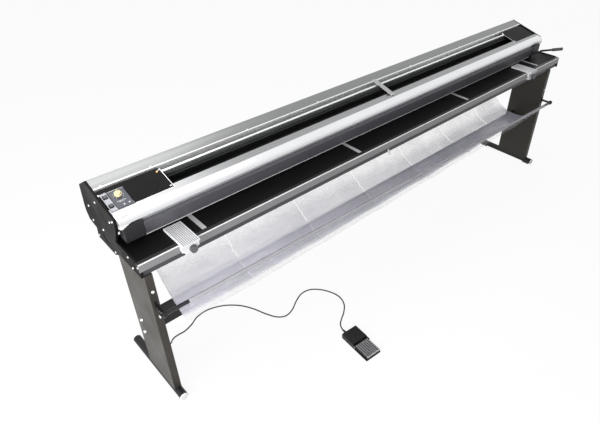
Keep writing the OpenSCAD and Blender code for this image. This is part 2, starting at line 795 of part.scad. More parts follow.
// Controls
module button_pocket(y, slack) {
    w = button_w + 2 * slack;
    on_head(switch_x, y) translate([-w / 2, -w / 2, -12]) cube([w, w, 30]);
}
module knob_bore() {
    on_head(panel_x, knob_y) translate([0, 0, -14]) cylinder(d = 8 + 2 * fit_gap, h = 30);
}
module control_panel() {
    color([0.2, 0.21, 0.25]) difference() {
        lid(panel_x - panel_w / 2, panel_x + panel_w / 2, panel_y0, panel_back);
        knob_bore();
    }
}
module switch_strip() {
    color("silver") difference() {
        lid(switch_x - switch_w / 2, switch_x + switch_w / 2, panel_y0, panel_back);
        for (y = button_y) button_pocket(y, free_gap);
    }
}
module control_box() {
    y0 = bar_y1 + 2;
    y1 = back_y0 - 2;
    z0 = table_z + 100;
    color("black") difference() {
        along_x(switch_x - switch_w / 2 + 1, panel_x + panel_w / 2 - 1,
            [[y0, z0], [y1, z0], [y1, seat(y1)], [y0, seat(y0)]]);
        for (y = button_y) button_pocket(y, free_gap);
        knob_bore();
    }
}
module button(y) {
    on_head(switch_x, y) translate([-button_w / 2, -button_w / 2, -6])
        cube([button_w, button_w, 6 + lid_t + 4]);
}
module start_button() {
    color("black") button(button_y[1]);
}
module stop_button() {
    color("black") button(button_y[0]);
}
module selector_knob() {
    color("khaki") on_head(panel_x, knob_y) {
        translate([0, 0, -10]) cylinder(d = 8, h = 10 + lid_t + 1);
        translate([0, 0, lid_t + free_gap]) cylinder(d = knob_d, h = 6);
        translate([0, 0, lid_t + free_gap + 6]) cylinder(d1 = knob_d - 4, d2 = knob_d - 8, h = 8);
        translate([-3, -knob_d / 2 + 1, lid_t + free_gap + 6]) cube([6, knob_d - 2, 10]);
    }
}
module inlet_body(slack) {
    w = 26 + 2 * slack;
    h = 16 + 2 * slack;
    translate([inlet_x - w / 2, back_y1 - 30, inlet_z - h / 2]) cube([w, 30 + slack, h]);
}
module power_inlet() {
    x = inlet_x;
    z = inlet_z;
    color("black") {
        difference() {
            union() {
                inlet_body(0);
                box([x - 16, back_y1, z - 10], [x + 16, back_y1 + inlet_flange, z + 10]);
            }
            box([x - 11, back_y1 - 16, z - 6], [x + 11, back_y1 + inlet_flange + 1, z + 6]);
        }
        for (k = [-1, 0, 1])
            box([x + 7 * k - 1, back_y1 - 17, z - 2], [x + 7 * k + 1, back_y1 - 3, z + 2]);
    }
}

inlet_x = head_x0 + 78;
inlet_z = table_z + 17;

// Drive
module drive_motor() {
    y0 = back_y0 + head_wall;
    can_d = 56;
    can_z = pulley_z - 28;
    color("dimgray") difference() {
        union() {
            box([drive_x - 32, y0, can_z - can_d / 2], [drive_x + 32, y0 + 28, pulley_z + 14]);
            rod_y(can_d, y0 + 28, y0 + 104, drive_x, can_z);
        }
        rod_y(spindle_d + 2 * fit_gap, y0 - 1, y0 + 25, drive_x, pulley_z);
    }
}
module pulley(x, bore) {
    flange = 1;
    rim = belt_t + 2;
    difference() {
        union() {
            rod_y(2 * pulley_r, pulley_y, pulley_y + belt_w + 3, x, pulley_z);
            rod_y(2 * (pulley_r + rim), pulley_y, pulley_y + flange, x, pulley_z);
            rod_y(2 * (pulley_r + rim), pulley_y + belt_w + 3 - flange, pulley_y + belt_w + 3, x, pulley_z);
        }
        rod_y(bore, pulley_y - 1, pulley_y + belt_w + 4, x, pulley_z);
    }
}
module drive_pulley() {
    color("silver") {
        pulley(drive_x, spindle_d - 1);
        rod_y(spindle_d, pulley_y, back_y0 + head_wall + 22, drive_x, pulley_z);
    }
}
module idler_pulley() {
    color("silver") pulley(idler_x, spindle_d + 2 * fit_gap);
}
module idler_axle() {
    color("dimgray") {
        rod_y(spindle_d, pulley_y - 1, back_y0 + head_wall, idler_x, pulley_z);
        rod_y(spindle_d + 6, pulley_y - 4, pulley_y - free_gap, idler_x, pulley_z);
    }
}
module loop_solid(r, y0, y1) {
    rod_y(2 * r, y0, y1, idler_x, pulley_z);
    rod_y(2 * r, y0, y1, drive_x, pulley_z);
    box([idler_x, y0, pulley_z - r], [drive_x, y1, pulley_z + r]);
}
module drive_belt() {
    y0 = pulley_y + 1.5;
    r = pulley_r + 0.3;
    color([0.1, 0.1, 0.1]) difference() {
        loop_solid(r + belt_t, y0, y0 + belt_w);
        loop_solid(r, y0 - 1, y0 + belt_w + 1);
    }
}

// Cutting carriage
module carriage_body() {
    bush_d = guide_d + 2 * bush_wall;
    x0 = carriage_x - carriage_len / 2;
    x1 = carriage_x + carriage_len / 2;
    axle_cap = 5;
    color([0.2, 0.2, 0.22]) {
        difference() {
            union() {
                box([x0, arm_y1 - 1, guide_z - guide_d / 2 - 8], [x1, guide_y + guide_d / 2 + 6, block_top]);
                box([carriage_x - 40, arm_y0, table_z + 12], [carriage_x + 40, arm_y1, block_top]);
                box([carriage_x - 18, bar_y1 + free_gap, bar_z0 + 2],
                    [carriage_x + 18, arm_y0 + 1, block_top]);
                box([carriage_x - 20, pulley_y - 3, block_top - 1],
                    [carriage_x + 20, back_y0 - 2, run_z + belt_t + 4]);
            }
            rod_x(bush_d, x0 - 1, x1 + 1, guide_y, guide_z);
            box([carriage_x - 21, pulley_y + 1, run_z - free_gap],
                [carriage_x + 21, back_y0, run_z + belt_t + free_gap]);
        }
        rod_y(axle_d, blade_y - 0.5, arm_y0 + 1, carriage_x, blade_z);
        rod_y(axle_d + 8, blade_y - free_gap - axle_cap, blade_y - free_gap, carriage_x, blade_z);
    }
}
module carriage_bushes() {
    bush_l = 30;
    color("goldenrod") for (x = [carriage_x - carriage_len / 2, carriage_x + carriage_len / 2 - bush_l])
        difference() {
            rod_x(guide_d + 2 * bush_wall, x, x + bush_l, guide_y, guide_z);
            rod_x(guide_d + 2 * fit_gap, x - 1, x + bush_l + 1, guide_y, guide_z);
        }
}
module rotary_blade() {
    hub_d = axle_d + 14;
    color("silver") difference() {
        union() {
            rod_y(blade_d, blade_y, blade_y + blade_t, carriage_x, blade_z);
            rod_y(hub_d, blade_y + blade_t - 0.1, arm_y0 - free_gap, carriage_x, blade_z);
        }
        rod_y(axle_d + 2 * fit_gap, blade_y - 1, arm_y0 + 1, carriage_x, blade_z);
    }
}

// Presser
module presser_bar() {
    foot = presser_z0 + lip_t;
    color([0.3, 0.3, 0.33]) along_x(head_mid - block_x0, head_mid + block_x0, [
        [presser_toe, foot], [presser_toe + 10, foot], [presser_toe + 10, foot + 6],
        [presser_toe + 5, foot + 6], [presser_y + 8, presser_z1 - 6], [presser_y + 43, presser_z1 - 6],
        [presser_y + 43, presser_z1],
        [presser_y, presser_z1]]);
}
module presser_lip() {
    color("gainsboro") box([head_mid - block_x0, presser_toe, presser_z0],
        [head_mid + block_x0, presser_toe + 8, presser_z0 + lip_t]);
}
module presser_end() {
    y0 = bar_y0 + 1;
    y1 = post_y + 14;
    foot = presser_z0 + block_foot;
    crown = block_top_z + block_rise;
    yoke_z0 = crank_pin_z - 9;
    yoke_z1 = crank_pin_z + 10;
    color([0.22, 0.22, 0.24]) {
        intersection() {
            along_x(block_x0, block_x1, [[y0, foot], [y1, foot], [y1, block_top_z],
                [bar_y0 + 15, block_top_z], [y0, crown]]);
            translate([0, y1 + 1, 0]) rotate([90, 0, 0]) linear_extrude(y1 - y0 + 2) polygon([
                [block_x0, foot], [block_x1, foot], [block_x1, crown - 12], [block_x1 - block_cut, crown],
                [block_x0, crown]]);
        }
        rod_z(post_d, yoke_z1 - 1, foot + 1, post_x, post_y);
        difference() {
            box([post_x - yoke_t / 2, post_y - yoke_w / 2, yoke_z0],
                [post_x + yoke_t / 2, post_y + yoke_w / 2, yoke_z1]);
            box([post_x - yoke_t, post_y - 7, crank_pin_z - crank_pin_d / 2 - free_gap],
                [post_x + yoke_t, post_y + 7, crank_pin_z + crank_pin_d / 2 + free_gap]);
        }
    }
}
module presser_ends() {
    head_ends() presser_end();
}
module crank() {
    web_x = yoke_t / 2 + crank_gap;
    for (x = [post_x - web_x - web_t, post_x + web_x])
        rod_x(web_d, x, x + web_t, shaft_y, shaft_z);
    rod_x(crank_pin_d, post_x - web_x - 1, post_x + web_x + 1, crank_pin_y, crank_pin_z);
}
module presser_shaft() {
    web_x = yoke_t / 2 + crank_gap;
    color("silver") {
        head_ends() crank();
        rod_x(shaft_d, -inner_x - end_t + 2, head_mid - post_x - web_x - 1, shaft_y, shaft_z);
        rod_x(shaft_d, head_mid - post_x + web_x + 1, head_mid + post_x - web_x - 1, shaft_y, shaft_z);
        rod_x(shaft_d, head_mid + post_x + web_x + 1, lever_x + lever_t / 2, shaft_y, shaft_z);
    }
}
module presser_bushes() {
    color("goldenrod") {
        head_ends() difference() {
            rod_z(post_d + 2 * bush_wall, panel_z - beam_wall, table_z, post_x, post_y);
            rod_z(post_d + 2 * fit_gap, leg_top, table_z + 1, post_x, post_y);
        }
        both_ends() difference() {
            rod_x(shaft_d + 2 * bush_wall, inner_x, half_len, shaft_y, shaft_z);
            rod_x(shaft_d + 2 * fit_gap, inner_x - 1, half_len + 1, shaft_y, shaft_z);
        }
    }
}
module clamp_lever() {
    x0 = lever_x - lever_t / 2;
    x1 = lever_x + lever_t / 2;
    hub = [shaft_y, shaft_z];
    color([0.12, 0.12, 0.12]) difference() {
        union() {
            rod_x(shaft_d + 14, x0 - 5, x1, shaft_y, shaft_z);
            rod_x(lever_w, x0, x1, knee[0], knee[1]);
            along_x(x0, x1, bar_outline(hub, knee, lever_w));
            along_x(x0, x1, bar_outline(knee, lever_tip, lever_w));
        }
        rod_x(shaft_d, half_len, x1 + 1, shaft_y, shaft_z);
    }
}
module lever_grip() {
    along = lever_tip - knee;
    start = lever_arm - grip_len + 6;
    tilt = atan2(along[1], along[0]);
    color("gray") translate([lever_x, knee[0], knee[1]]) rotate([tilt, 0, 0]) difference() {
        rod_y(grip_d, start, start + grip_len, 0, 0);
        box([-lever_t / 2, start - 1, -lever_w / 2], [lever_t / 2, lever_arm, lever_w / 2]);
    }
}

// Gauges: a ribbed plate on the table and a clamp that hooks under the front rail
module gauge(x) {
    groove_pitch = gauge_w / (gauge_grooves + 1);
    half_w = gauge_w / 2;
    color("gainsboro") translate([x, 0, 0]) difference() {
        union() {
            box([-half_w, -gauge_front, gauge_z], [half_w, gauge_y1, gauge_z + gauge_t]);
            box([-half_w, -clamp_t - free_gap, clamp_z], [half_w, -free_gap, gauge_z + 1]);
            box([-half_w + 6, -2, clamp_z], [2, beam_y0 - 2, rail_z - free_gap]);
        }
        for (k = [1:gauge_grooves])
            box([-half_w + k * groove_pitch - 1.5, -gauge_front - 1, gauge_z + gauge_t - 1.5],
                [-half_w + k * groove_pitch + 1.5, gauge_y1 + 1, gauge_z + gauge_t + 1]);
        rod_y(44, -clamp_t - 1, -free_gap + 0.5, half_w + 8, clamp_z - 2);
        rod_y(36, -clamp_t - 1, -free_gap + 0.5, -half_w - 4, clamp_z + 4);
        rod_y(8 + 2 * fit_gap, -clamp_t - 1, 1, gauge_knob_x - 8, gauge_knob_z + 6);
    }
}
module gauge_knob(x) {
    y1 = -clamp_t - 2 * free_gap;
    z = gauge_knob_z + 6;
    color("gray") {
        rod_y(8, y1 - 1, -2 * free_gap, x + gauge_knob_x - 8, z);
        difference() {
            rod_y(gauge_knob_d, y1 - 16, y1, x + gauge_knob_x - 8, z);
            for (k = [0:17])
                translate([x + gauge_knob_x - 8, 0, z]) rotate([0, 20 * k, 0])
                    rod_y(3, y1 - 17, y1 + 1, gauge_knob_d / 2 + 0.6, 0);
        }
    }
}
module left_gauge() {
    gauge(left_gauge_x);
}
module right_gauge() {
    gauge(right_gauge_x);
}
module left_gauge_knob() {
    gauge_knob(left_gauge_x);
}
module right_gauge_knob() {
    gauge_knob(right_gauge_x);
}

// Pedal and its cord
module rounded_slab(w, l, z0, z1, r) {
    box([-w / 2 + r, -l / 2, z0], [w / 2 - r, l / 2, z1]);
    box([-w / 2, -l / 2 + r, z0], [w / 2, l / 2 - r, z1]);
    for (sx = [-1, 1], sy = [-1, 1])
        rod_z(2 * r, z0, z1, sx * (w / 2 - r), sy * (l / 2 - r));
}
ear_t = 4;
module pedal_base() {
    rear = pedal_len / 2;
    color([0.1, 0.1, 0.1]) at_pedal() difference() {
        union() {
            rounded_slab(pedal_w, pedal_len, 0, pedal_floor, pedal_round);
            intersection() {
                rounded_slab(pedal_w, pedal_len, 0, pedal_h, pedal_round);
                box([-pedal_w, hinge_v + 12, 0], [pedal_w, rear + 1, pedal_h]);
            }
            for (side = [-1, 1])
                box([side * (pedal_w / 2 - ear_t / 2) - ear_t / 2, hinge_v - 10, 1],
                    [side * (pedal_w / 2 - ear_t / 2) + ear_t / 2, hinge_v + 13, hinge_z + 7]);
            rod_y(cord_d + 6, rear - 2, rear + pedal_boss, cord_u, cord_in_z);
        }
        rod_x(pin_d, -pedal_w, pedal_w, hinge_v, hinge_z);
    }
}
module pedal_pin() {
    color("silver") at_pedal() rod_x(pin_d, -pedal_w / 2, pedal_w / 2, hinge_v, hinge_z);
}
module pedal_treadle() {
    w = pedal_w / 2 - ear_t - treadle_gap;
    front = -pedal_len / 2;
    barrel_d = 12;
    ribs = 12;
    color([0.25, 0.25, 0.26]) at_pedal() difference() {
        union() {
            box([-w, front, hinge_z - 3], [w, hinge_v, hinge_z - 3 + treadle_t]);
            rod_x(barrel_d, -w, w, hinge_v, hinge_z);
        }
        for (k = [1:ribs])
            box([-w - 1, front + k * 6 - 1.2, hinge_z - 5 + treadle_t],
                [w + 1, front + k * 6 + 1.2, hinge_z + treadle_t]);
        rod_x(pin_d + 2 * fit_gap, -pedal_w, pedal_w, hinge_v, hinge_z);
    }
}
module leg_gland() {
    x0 = left_leg_x + leg_t;
    color("black") {
        rod_x(gland_d, x0 - leg_wall, x0, gland_y, gland_z);
        rod_x(gland_d + 6, x0, x0 + 6, gland_y, gland_z);
        rod_x(gland_d, x0 + 6, x0 + gland_len, gland_y, gland_z);
    }
}
// Catmull-Rom spline through the route, and a round tube swept along it
function route_at(i) = cord_route[max(0, min(len(cord_route) - 1, i))];
function spline(i, t) =
    let (a = route_at(i - 1), b = route_at(i), c = route_at(i + 1), d = route_at(i + 2))
    (2 * b + (c - a) * t + (2 * a - 5 * b + 4 * c - d) * t * t + (3 * b - a - 3 * c + d) * t * t * t) / 2;
cord_points = concat([for (i = [0:len(cord_route) - 2], k = [0:cord_steps - 1]) spline(i, k / cord_steps)],
    [route_at(len(cord_route) - 1)]);
function cord_ring(i) =
    let (last = len(cord_points) - 1,
         along = i == 0 ? [1, 0, 0]
             : i == last ? pedal_point(0, -1, 0) - pedal_point(0, 0, 0)
             : unit(cord_points[i + 1] - cord_points[i - 1]),
         side = unit(cross([0, 0, 1], along)),
         up = cross(along, side))
    [for (k = [0:cord_sides - 1]) let (a = 360 * k / cord_sides)
        cord_points[i] + cord_d / 2 * (cos(a) * side + sin(a) * up)];
module pedal_cord() {
    n = len(cord_points);
    m = cord_sides;
    color("black") polyhedron([for (i = [0:n - 1]) each cord_ring(i)],
        concat([for (k = [1:m - 2]) [0, k, k + 1]],
            [for (f = skin_faces(n, m)) [f[0], f[2], f[1]]],
            [for (k = [1:m - 2]) [(n - 1) * m, (n - 1) * m + k + 1, (n - 1) * m + k]]));
}

in_frame() left_leg();
in_frame() right_leg();
in_frame() foot_tubes();
in_frame() foot_caps_front();
in_frame() foot_caps_rear();
in_frame() foot_glides();
in_frame() stretcher_beam();
in_frame() stretcher_bolts();
in_frame() rod_hangers();
in_frame() leg_plugs();
in_frame() film_rod();
in_frame() catch_film();
in_frame() film_batten();
in_frame() table_beam();
in_frame() table_top();
in_frame() front_rail();
in_frame() ruler_strips();
in_frame() table_caps();
in_frame() counter_blade();
in_frame() left_end_plate();
in_frame() right_end_plate();
in_frame() end_screws();
in_frame() front_bar();
in_frame() rear_beam();
in_frame() rear_cover();
in_frame() guide_rod();
in_frame() cross_strap();
in_frame() left_top_cover();
in_frame() right_top_cover();
in_frame() control_panel();
in_frame() switch_strip();
in_frame() control_box();
in_frame() drive_motor();
in_frame() drive_belt();
in_frame() idler_axle();
in_frame() power_inlet();
in_frame() leg_gland();
in_frame() pedal_cord();
in_frame() pedal_base();
in_frame() pedal_pin();
in_frame() presser_bushes();
in_frame() carriage_body();
in_frame() carriage_bushes();
in_frame() rotary_blade();
in_frame() drive_pulley();
in_frame() idler_pulley();
in_frame() presser_bar();
in_frame() presser_lip();
in_frame() presser_ends();
in_frame() presser_shaft();
in_frame() clamp_lever();
in_frame() lever_grip();
in_frame() left_gauge();
in_frame() right_gauge();
in_frame() left_gauge_knob();
in_frame() right_gauge_knob();
in_frame() selector_knob();
in_frame() start_button();
in_frame() stop_button();
in_frame() pedal_treadle();
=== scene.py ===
"""Looks of a motorised rotary trimmer on its stand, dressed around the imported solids."""

import math
from collections import namedtuple

import bmesh
import bpy
from bpy.props import FloatProperty, FloatVectorProperty, IntProperty, PointerProperty
from mathutils import Euler, Matrix, Vector, noise


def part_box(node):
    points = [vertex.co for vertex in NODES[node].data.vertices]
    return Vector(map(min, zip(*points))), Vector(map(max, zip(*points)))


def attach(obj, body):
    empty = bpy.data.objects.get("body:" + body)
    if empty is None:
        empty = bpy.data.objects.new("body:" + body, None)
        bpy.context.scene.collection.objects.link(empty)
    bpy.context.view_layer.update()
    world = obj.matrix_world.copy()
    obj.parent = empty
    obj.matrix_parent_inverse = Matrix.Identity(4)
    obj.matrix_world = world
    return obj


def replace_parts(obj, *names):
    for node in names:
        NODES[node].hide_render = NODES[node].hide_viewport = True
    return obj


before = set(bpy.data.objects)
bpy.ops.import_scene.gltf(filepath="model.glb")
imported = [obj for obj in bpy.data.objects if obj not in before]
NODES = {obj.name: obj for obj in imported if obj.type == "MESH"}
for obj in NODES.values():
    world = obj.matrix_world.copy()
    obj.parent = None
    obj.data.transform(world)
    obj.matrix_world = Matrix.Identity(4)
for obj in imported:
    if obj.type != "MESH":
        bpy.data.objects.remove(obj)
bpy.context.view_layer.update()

bl_info = {
    "name": "Rotary trimmer",
    "version": (1, 0, 0),
    "blender": (4, 5, 0),
    "location": "View3D > Sidebar > Trimmer",
    "description": "Finishes, film, cord and small fittings of a motorised rotary trimmer",
    "category": "Object",
}

MM = 0.001

# The drawing is in millimetres. It counts from the table's middle, the rail's front and the floor
RAIL_LOW, RAIL_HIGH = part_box("front_rail")
ORIGIN = Vector(((RAIL_LOW.x + RAIL_HIGH.x) / 2, RAIL_LOW.y, 0.0))
HALF_LEN = 1528.0

# The sloping head and its two lids
HEAD_SLOPE = math.radians(15.3)
HEAD_TILT = Matrix.Rotation(HEAD_SLOPE, 4, "X")
HEAD_SEAT = 895.0
HEAD_X = (-1518.0, 1445.0)
BAR_FRONT = 112.0
LID_T = 3.0
LEFT_LID = (-1420.0, -1261.0)
RIGHT_LID = (1204.0, 1439.0)

# The pedal
PEDAL_AT = (-715.0, -361.0)
PEDAL_TURN = math.radians(-4)

# The film and its rod
FILM_X = (-1398.0, 1347.0)
FILM_HANG = 690.0
FOLD_PITCH = 419.0
FIRST_FOLD = FILM_X[0] - 71.0
ROD_ENDS = (Vector((-1502, -62, 561)), Vector((1429, -62, 504)))
ROD_R = 8.0


def place(x, y, z):
    """A point of the drawing in the frame's metres."""
    return ORIGIN + Vector((x, y, z)) * MM


def moved(x, y, z):
    return Matrix.Translation(place(x, y, z))


def deep(y):
    """The frame's Y of a depth in the drawing."""
    return place(0, y, 0).y


def on_head(x, y):
    """Frame of a spot on the head: its z = 0 is the underside of the covers."""
    return moved(x, y, HEAD_SEAT + (y - BAR_FRONT) * math.tan(HEAD_SLOPE)) @ HEAD_TILT


def pedal_point(u, v, z):
    """A point of the drawing from the pedal's own width, length and height."""
    c, s = math.cos(PEDAL_TURN), math.sin(PEDAL_TURN)
    return (PEDAL_AT[0] + u * c - v * s, PEDAL_AT[1] + u * s + v * c, z)


# Settings


def colour(label, text, value):
    return FloatVectorProperty(
        name=label, description=text, subtype="COLOR", size=3, min=0.0, max=1.0, default=value
    )


def metres(label, text, value):
    return FloatProperty(name=label, description=text, default=value, unit="LENGTH")


def watts(label, text, value):
    return FloatProperty(name=label, description=text, default=value, unit="POWER")


def strength(label, text, value):
    return FloatProperty(name=label, description=text, default=value, min=0.0)


class TrimmerStage(bpy.types.PropertyGroup):
    side_power: watts("Side light", "Power of the lamp at the left end", 80.0)
    front_power: watts("Front light", "Power of the lamp in front of the left end", 38.0)
    top_power: watts("Top light", "Power of the lamp above the left end", 22.0)
    ceiling_level: strength("Ceiling level", "Strength of the light from above", 0.9)
    wall_level: strength("Wall level", "Strength of the light from the sides", 0.07)
    lens: FloatProperty(name="Lens", description="Focal length of the camera", default=31.484, unit="CAMERA")
    floor_colour: colour("Floor", "Colour of the floor", (0.93, 0.93, 0.93))


class TrimmerFilm(bpy.types.PropertyGroup):
    columns: IntProperty(name="Columns", description="Faces along the film", default=330, min=40)
    rows: IntProperty(name="Rows", description="Faces from the batten to the rod", default=64, min=16)
    thickness: metres("Thickness", "Thickness of the film", 0.0006)
    swell: metres("Swell", "How far the film stands in between two folds", 0.007)
    crumple: metres("Crumple", "Depth of the film's soft dents", 0.0032)
    tint: colour("Tint", "Colour of the film", (0.85, 0.84, 0.93))


class TrimmerCord(bpy.types.PropertyGroup):
    length: metres("Length", "Length of the pedal cord", 1.487)
    diameter: metres("Diameter", "Diameter of the pedal cord", 0.007)


class TrimmerFinish(bpy.types.PropertyGroup):
    leg: colour("Legs", "Powder coat of the legs", (0.037, 0.033, 0.028))
    black: colour("Black paint", "Paint of feet and lever", (0.012, 0.012, 0.013))
    plate: colour("End plates", "Textured paint of the end plates", (0.0050, 0.0048, 0.0045))
    table: colour("Table", "Coat of the table", (0.0042, 0.0042, 0.0046))
    bar: colour("Front bar", "Anodised front bar", (0.86, 0.87, 0.88))
    cover: colour("Rear cover", "Anodised rear cover", (0.27, 0.275, 0.275))
    rail: colour("Rail", "Anodised front rail", (0.26, 0.26, 0.265))
    presser: colour("Presser", "Anodised presser", (0.135, 0.135, 0.152))
    plastic: colour("Plastic", "Moulded black plastic", (0.009, 0.009, 0.0095))
    gauge: colour("Gauges", "Painted gauges", (0.78, 0.78, 0.79))
    knob: colour("Selector", "Selector knob", (0.83, 0.74, 0.42))
    panel: colour("Panel", "Face of the control panel", (0.045, 0.048, 0.065))


class TrimmerTrim(bpy.types.PropertyGroup):
    edge_round: metres("Edge round", "Radius on the edges of metal pieces", 0.0008)
    screw_head: metres("Screw head", "Diameter of the end plates' screws", 0.010)
    duct_pitch: metres("Duct pitch", "Distance between the bars of the cable duct", 0.016)


def settings(name):
    return getattr(bpy.context.scene, "trimmer_" + name)


# Shader groups

# Most of a noise texture's values lie between these
NOISE_LOW, NOISE_HIGH = 0.3, 0.7
FINE_SHARE = 0.6
LINES_ALONG = 1.4
SPOT_RANGE = (0.60, 0.74)
SPOT_AREA_RANGE = (0.48, 0.66)


def new_group(name, inputs, outputs):
    tree = bpy.data.node_groups.new(name, "ShaderNodeTree")
    for label, kind, value in inputs:
        socket = tree.interface.new_socket(label, in_out="INPUT", socket_type="NodeSocket" + kind)
        if value is not None:
            socket.default_value = value
    for label, kind in outputs:
        tree.interface.new_socket(label, in_out="OUTPUT", socket_type="NodeSocket" + kind)
    return tree, tree.nodes.new("NodeGroupInput").outputs, tree.nodes.new("NodeGroupOutput").inputs


def supply(tree, socket, value):
    """Links a socket to another one, or sets it to a constant."""
    if isinstance(value, bpy.types.NodeSocket):
        tree.links.new(value, socket)
    elif socket.type == "RGBA":
        socket.default_value = (*value[:3], 1.0)
    else:
        socket.default_value = value


def add(tree, kind, sockets=None, **values):
    """Adds a node, sets its values and supplies its sockets."""
    n = tree.nodes.new("ShaderNode" + kind)
    for key, value in values.items():
        setattr(n, key, value)
    for key, value in (sockets or {}).items():
        supply(tree, n.inputs[key], value)
    return n


def mix(tree, factor, a, b):
    return add(tree, "Mix", {0: factor, 6: a, 7: b}, data_type="RGBA").outputs[2]


def ranged(tree, value, low, high, to_low=0.0, to_high=1.0):
    sockets = {0: value, 1: low, 2: high, 3: to_low, 4: to_high}
    return add(tree, "MapRange", sockets, interpolation_type="SMOOTHSTEP").outputs[0]


def math_of(tree, operation, a, b=0.0):
    return add(tree, "Math", {0: a, 1: b}, operation=operation).outputs[0]


def times(tree, a, b):
    return math_of(tree, "MULTIPLY", a, b)


def plus(tree, a, b):
    return math_of(tree, "ADD", a, b)


def minus(tree, a, b):
    return math_of(tree, "SUBTRACT", a, b)


def larger(tree, a, b):
    return math_of(tree, "MAXIMUM", a, b)


def grain_group():
    """Fine mottling of a paint or moulding: a colour and a height."""
    tree, i, o = new_group(
        "Grain",
        [("Vector", "Vector", None), ("Scale", "Float", 300.0), ("Colour", "Color", None),
         ("Shade", "Color", None), ("Amount", "Float", 0.5)],
        [("Colour", "Color"), ("Height", "Float")],
    )
    fine = add(tree, "TexNoise", {"Vector": i[0], "Scale": i[1], "Detail": 3.0, "Roughness": 0.6})
    broad = add(tree, "TexNoise", {"Vector": i[0], "Scale": 7.0, "Detail": 2.0})
    both = plus(tree, times(tree, fine.outputs[0], FINE_SHARE), times(tree, broad.outputs[0], 1 - FINE_SHARE))
    share = times(tree, ranged(tree, both, NOISE_LOW, NOISE_HIGH), i[4])
    tree.links.new(mix(tree, share, i[2], i[3]), o[0])
    tree.links.new(fine.outputs[0], o[1])
    return tree


def patches_group():
    """Soft patches that vary a value over a surface."""
    tree, i, o = new_group(
        "Patches",
        [("Vector", "Vector", None), ("Scale", "Float", 9.0), ("Low", "Float", 0.3), ("High", "Float", 0.5)],
        [("Value", "Float")],
    )
    soft = add(tree, "TexNoise", {"Vector": i[0], "Scale": i[1], "Detail": 4.0})
    tree.links.new(ranged(tree, soft.outputs[0], NOISE_LOW, NOISE_HIGH, i[2], i[3]), o[0])
    return tree


def drawn_group():
    """Lines that a die leaves along an extrusion, which lies along x."""
    tree, i, o = new_group(
        "Drawn lines",
        [("Vector", "Vector", None), ("Density", "Float", 700.0), ("Low", "Float", 0.25),
         ("High", "Float", 0.4)],
        [("Value", "Float"), ("Height", "Float")],
    )
    across = add(tree, "CombineXYZ", {"X": LINES_ALONG, "Y": i[1], "Z": i[1]})
    stretched = add(tree, "VectorMath", {0: i[0], 1: across.outputs[0]}, operation="MULTIPLY")
    lines = add(tree, "TexNoise", {"Vector": stretched.outputs[0], "Scale": 1.0, "Detail": 2.0})
    tree.links.new(ranged(tree, lines.outputs[0], NOISE_LOW, NOISE_HIGH, i[2], i[3]), o[0])
    tree.links.new(lines.outputs[0], o[1])
    return tree


def scuffs_group():
    """Sparse small marks of use, as a mask."""
    tree, i, o = new_group(
        "Scuffs",
        [("Vector", "Vector", None), ("Scale", "Float", 60.0), ("Amount", "Float", 0.5)],
        [("Mask", "Float")],
    )
    spots = add(tree, "TexNoise", {"Vector": i[0], "Scale": i[1], "Detail": 5.0, "Roughness": 0.7})
    areas = add(tree, "TexNoise", {"Vector": i[0], "Scale": 4.0, "Detail": 1.0})
    small = ranged(tree, spots.outputs[0], *SPOT_RANGE)
    some = ranged(tree, areas.outputs[0], *SPOT_AREA_RANGE)
    tree.links.new(times(tree, times(tree, small, some), i[2]), o[0])
    return tree


GROUP_MAKERS = {
    "Grain": grain_group,
    "Patches": patches_group,
    "Drawn lines": drawn_group,
    "Scuffs": scuffs_group,
}


def effect(tree, name, **sockets):
    """Places a shader group in a material, building it at its first use."""
    n = tree.nodes.new("ShaderNodeGroup")
    n.node_tree = bpy.data.node_groups.get(name) or GROUP_MAKERS[name]()
    for key, value in sockets.items():
        supply(tree, n.inputs[key], value)
    return n.outputs


# Finishes. A colour is three numbers, the name of a setting, or that name with a share of it

FINISH_END = "_finish"

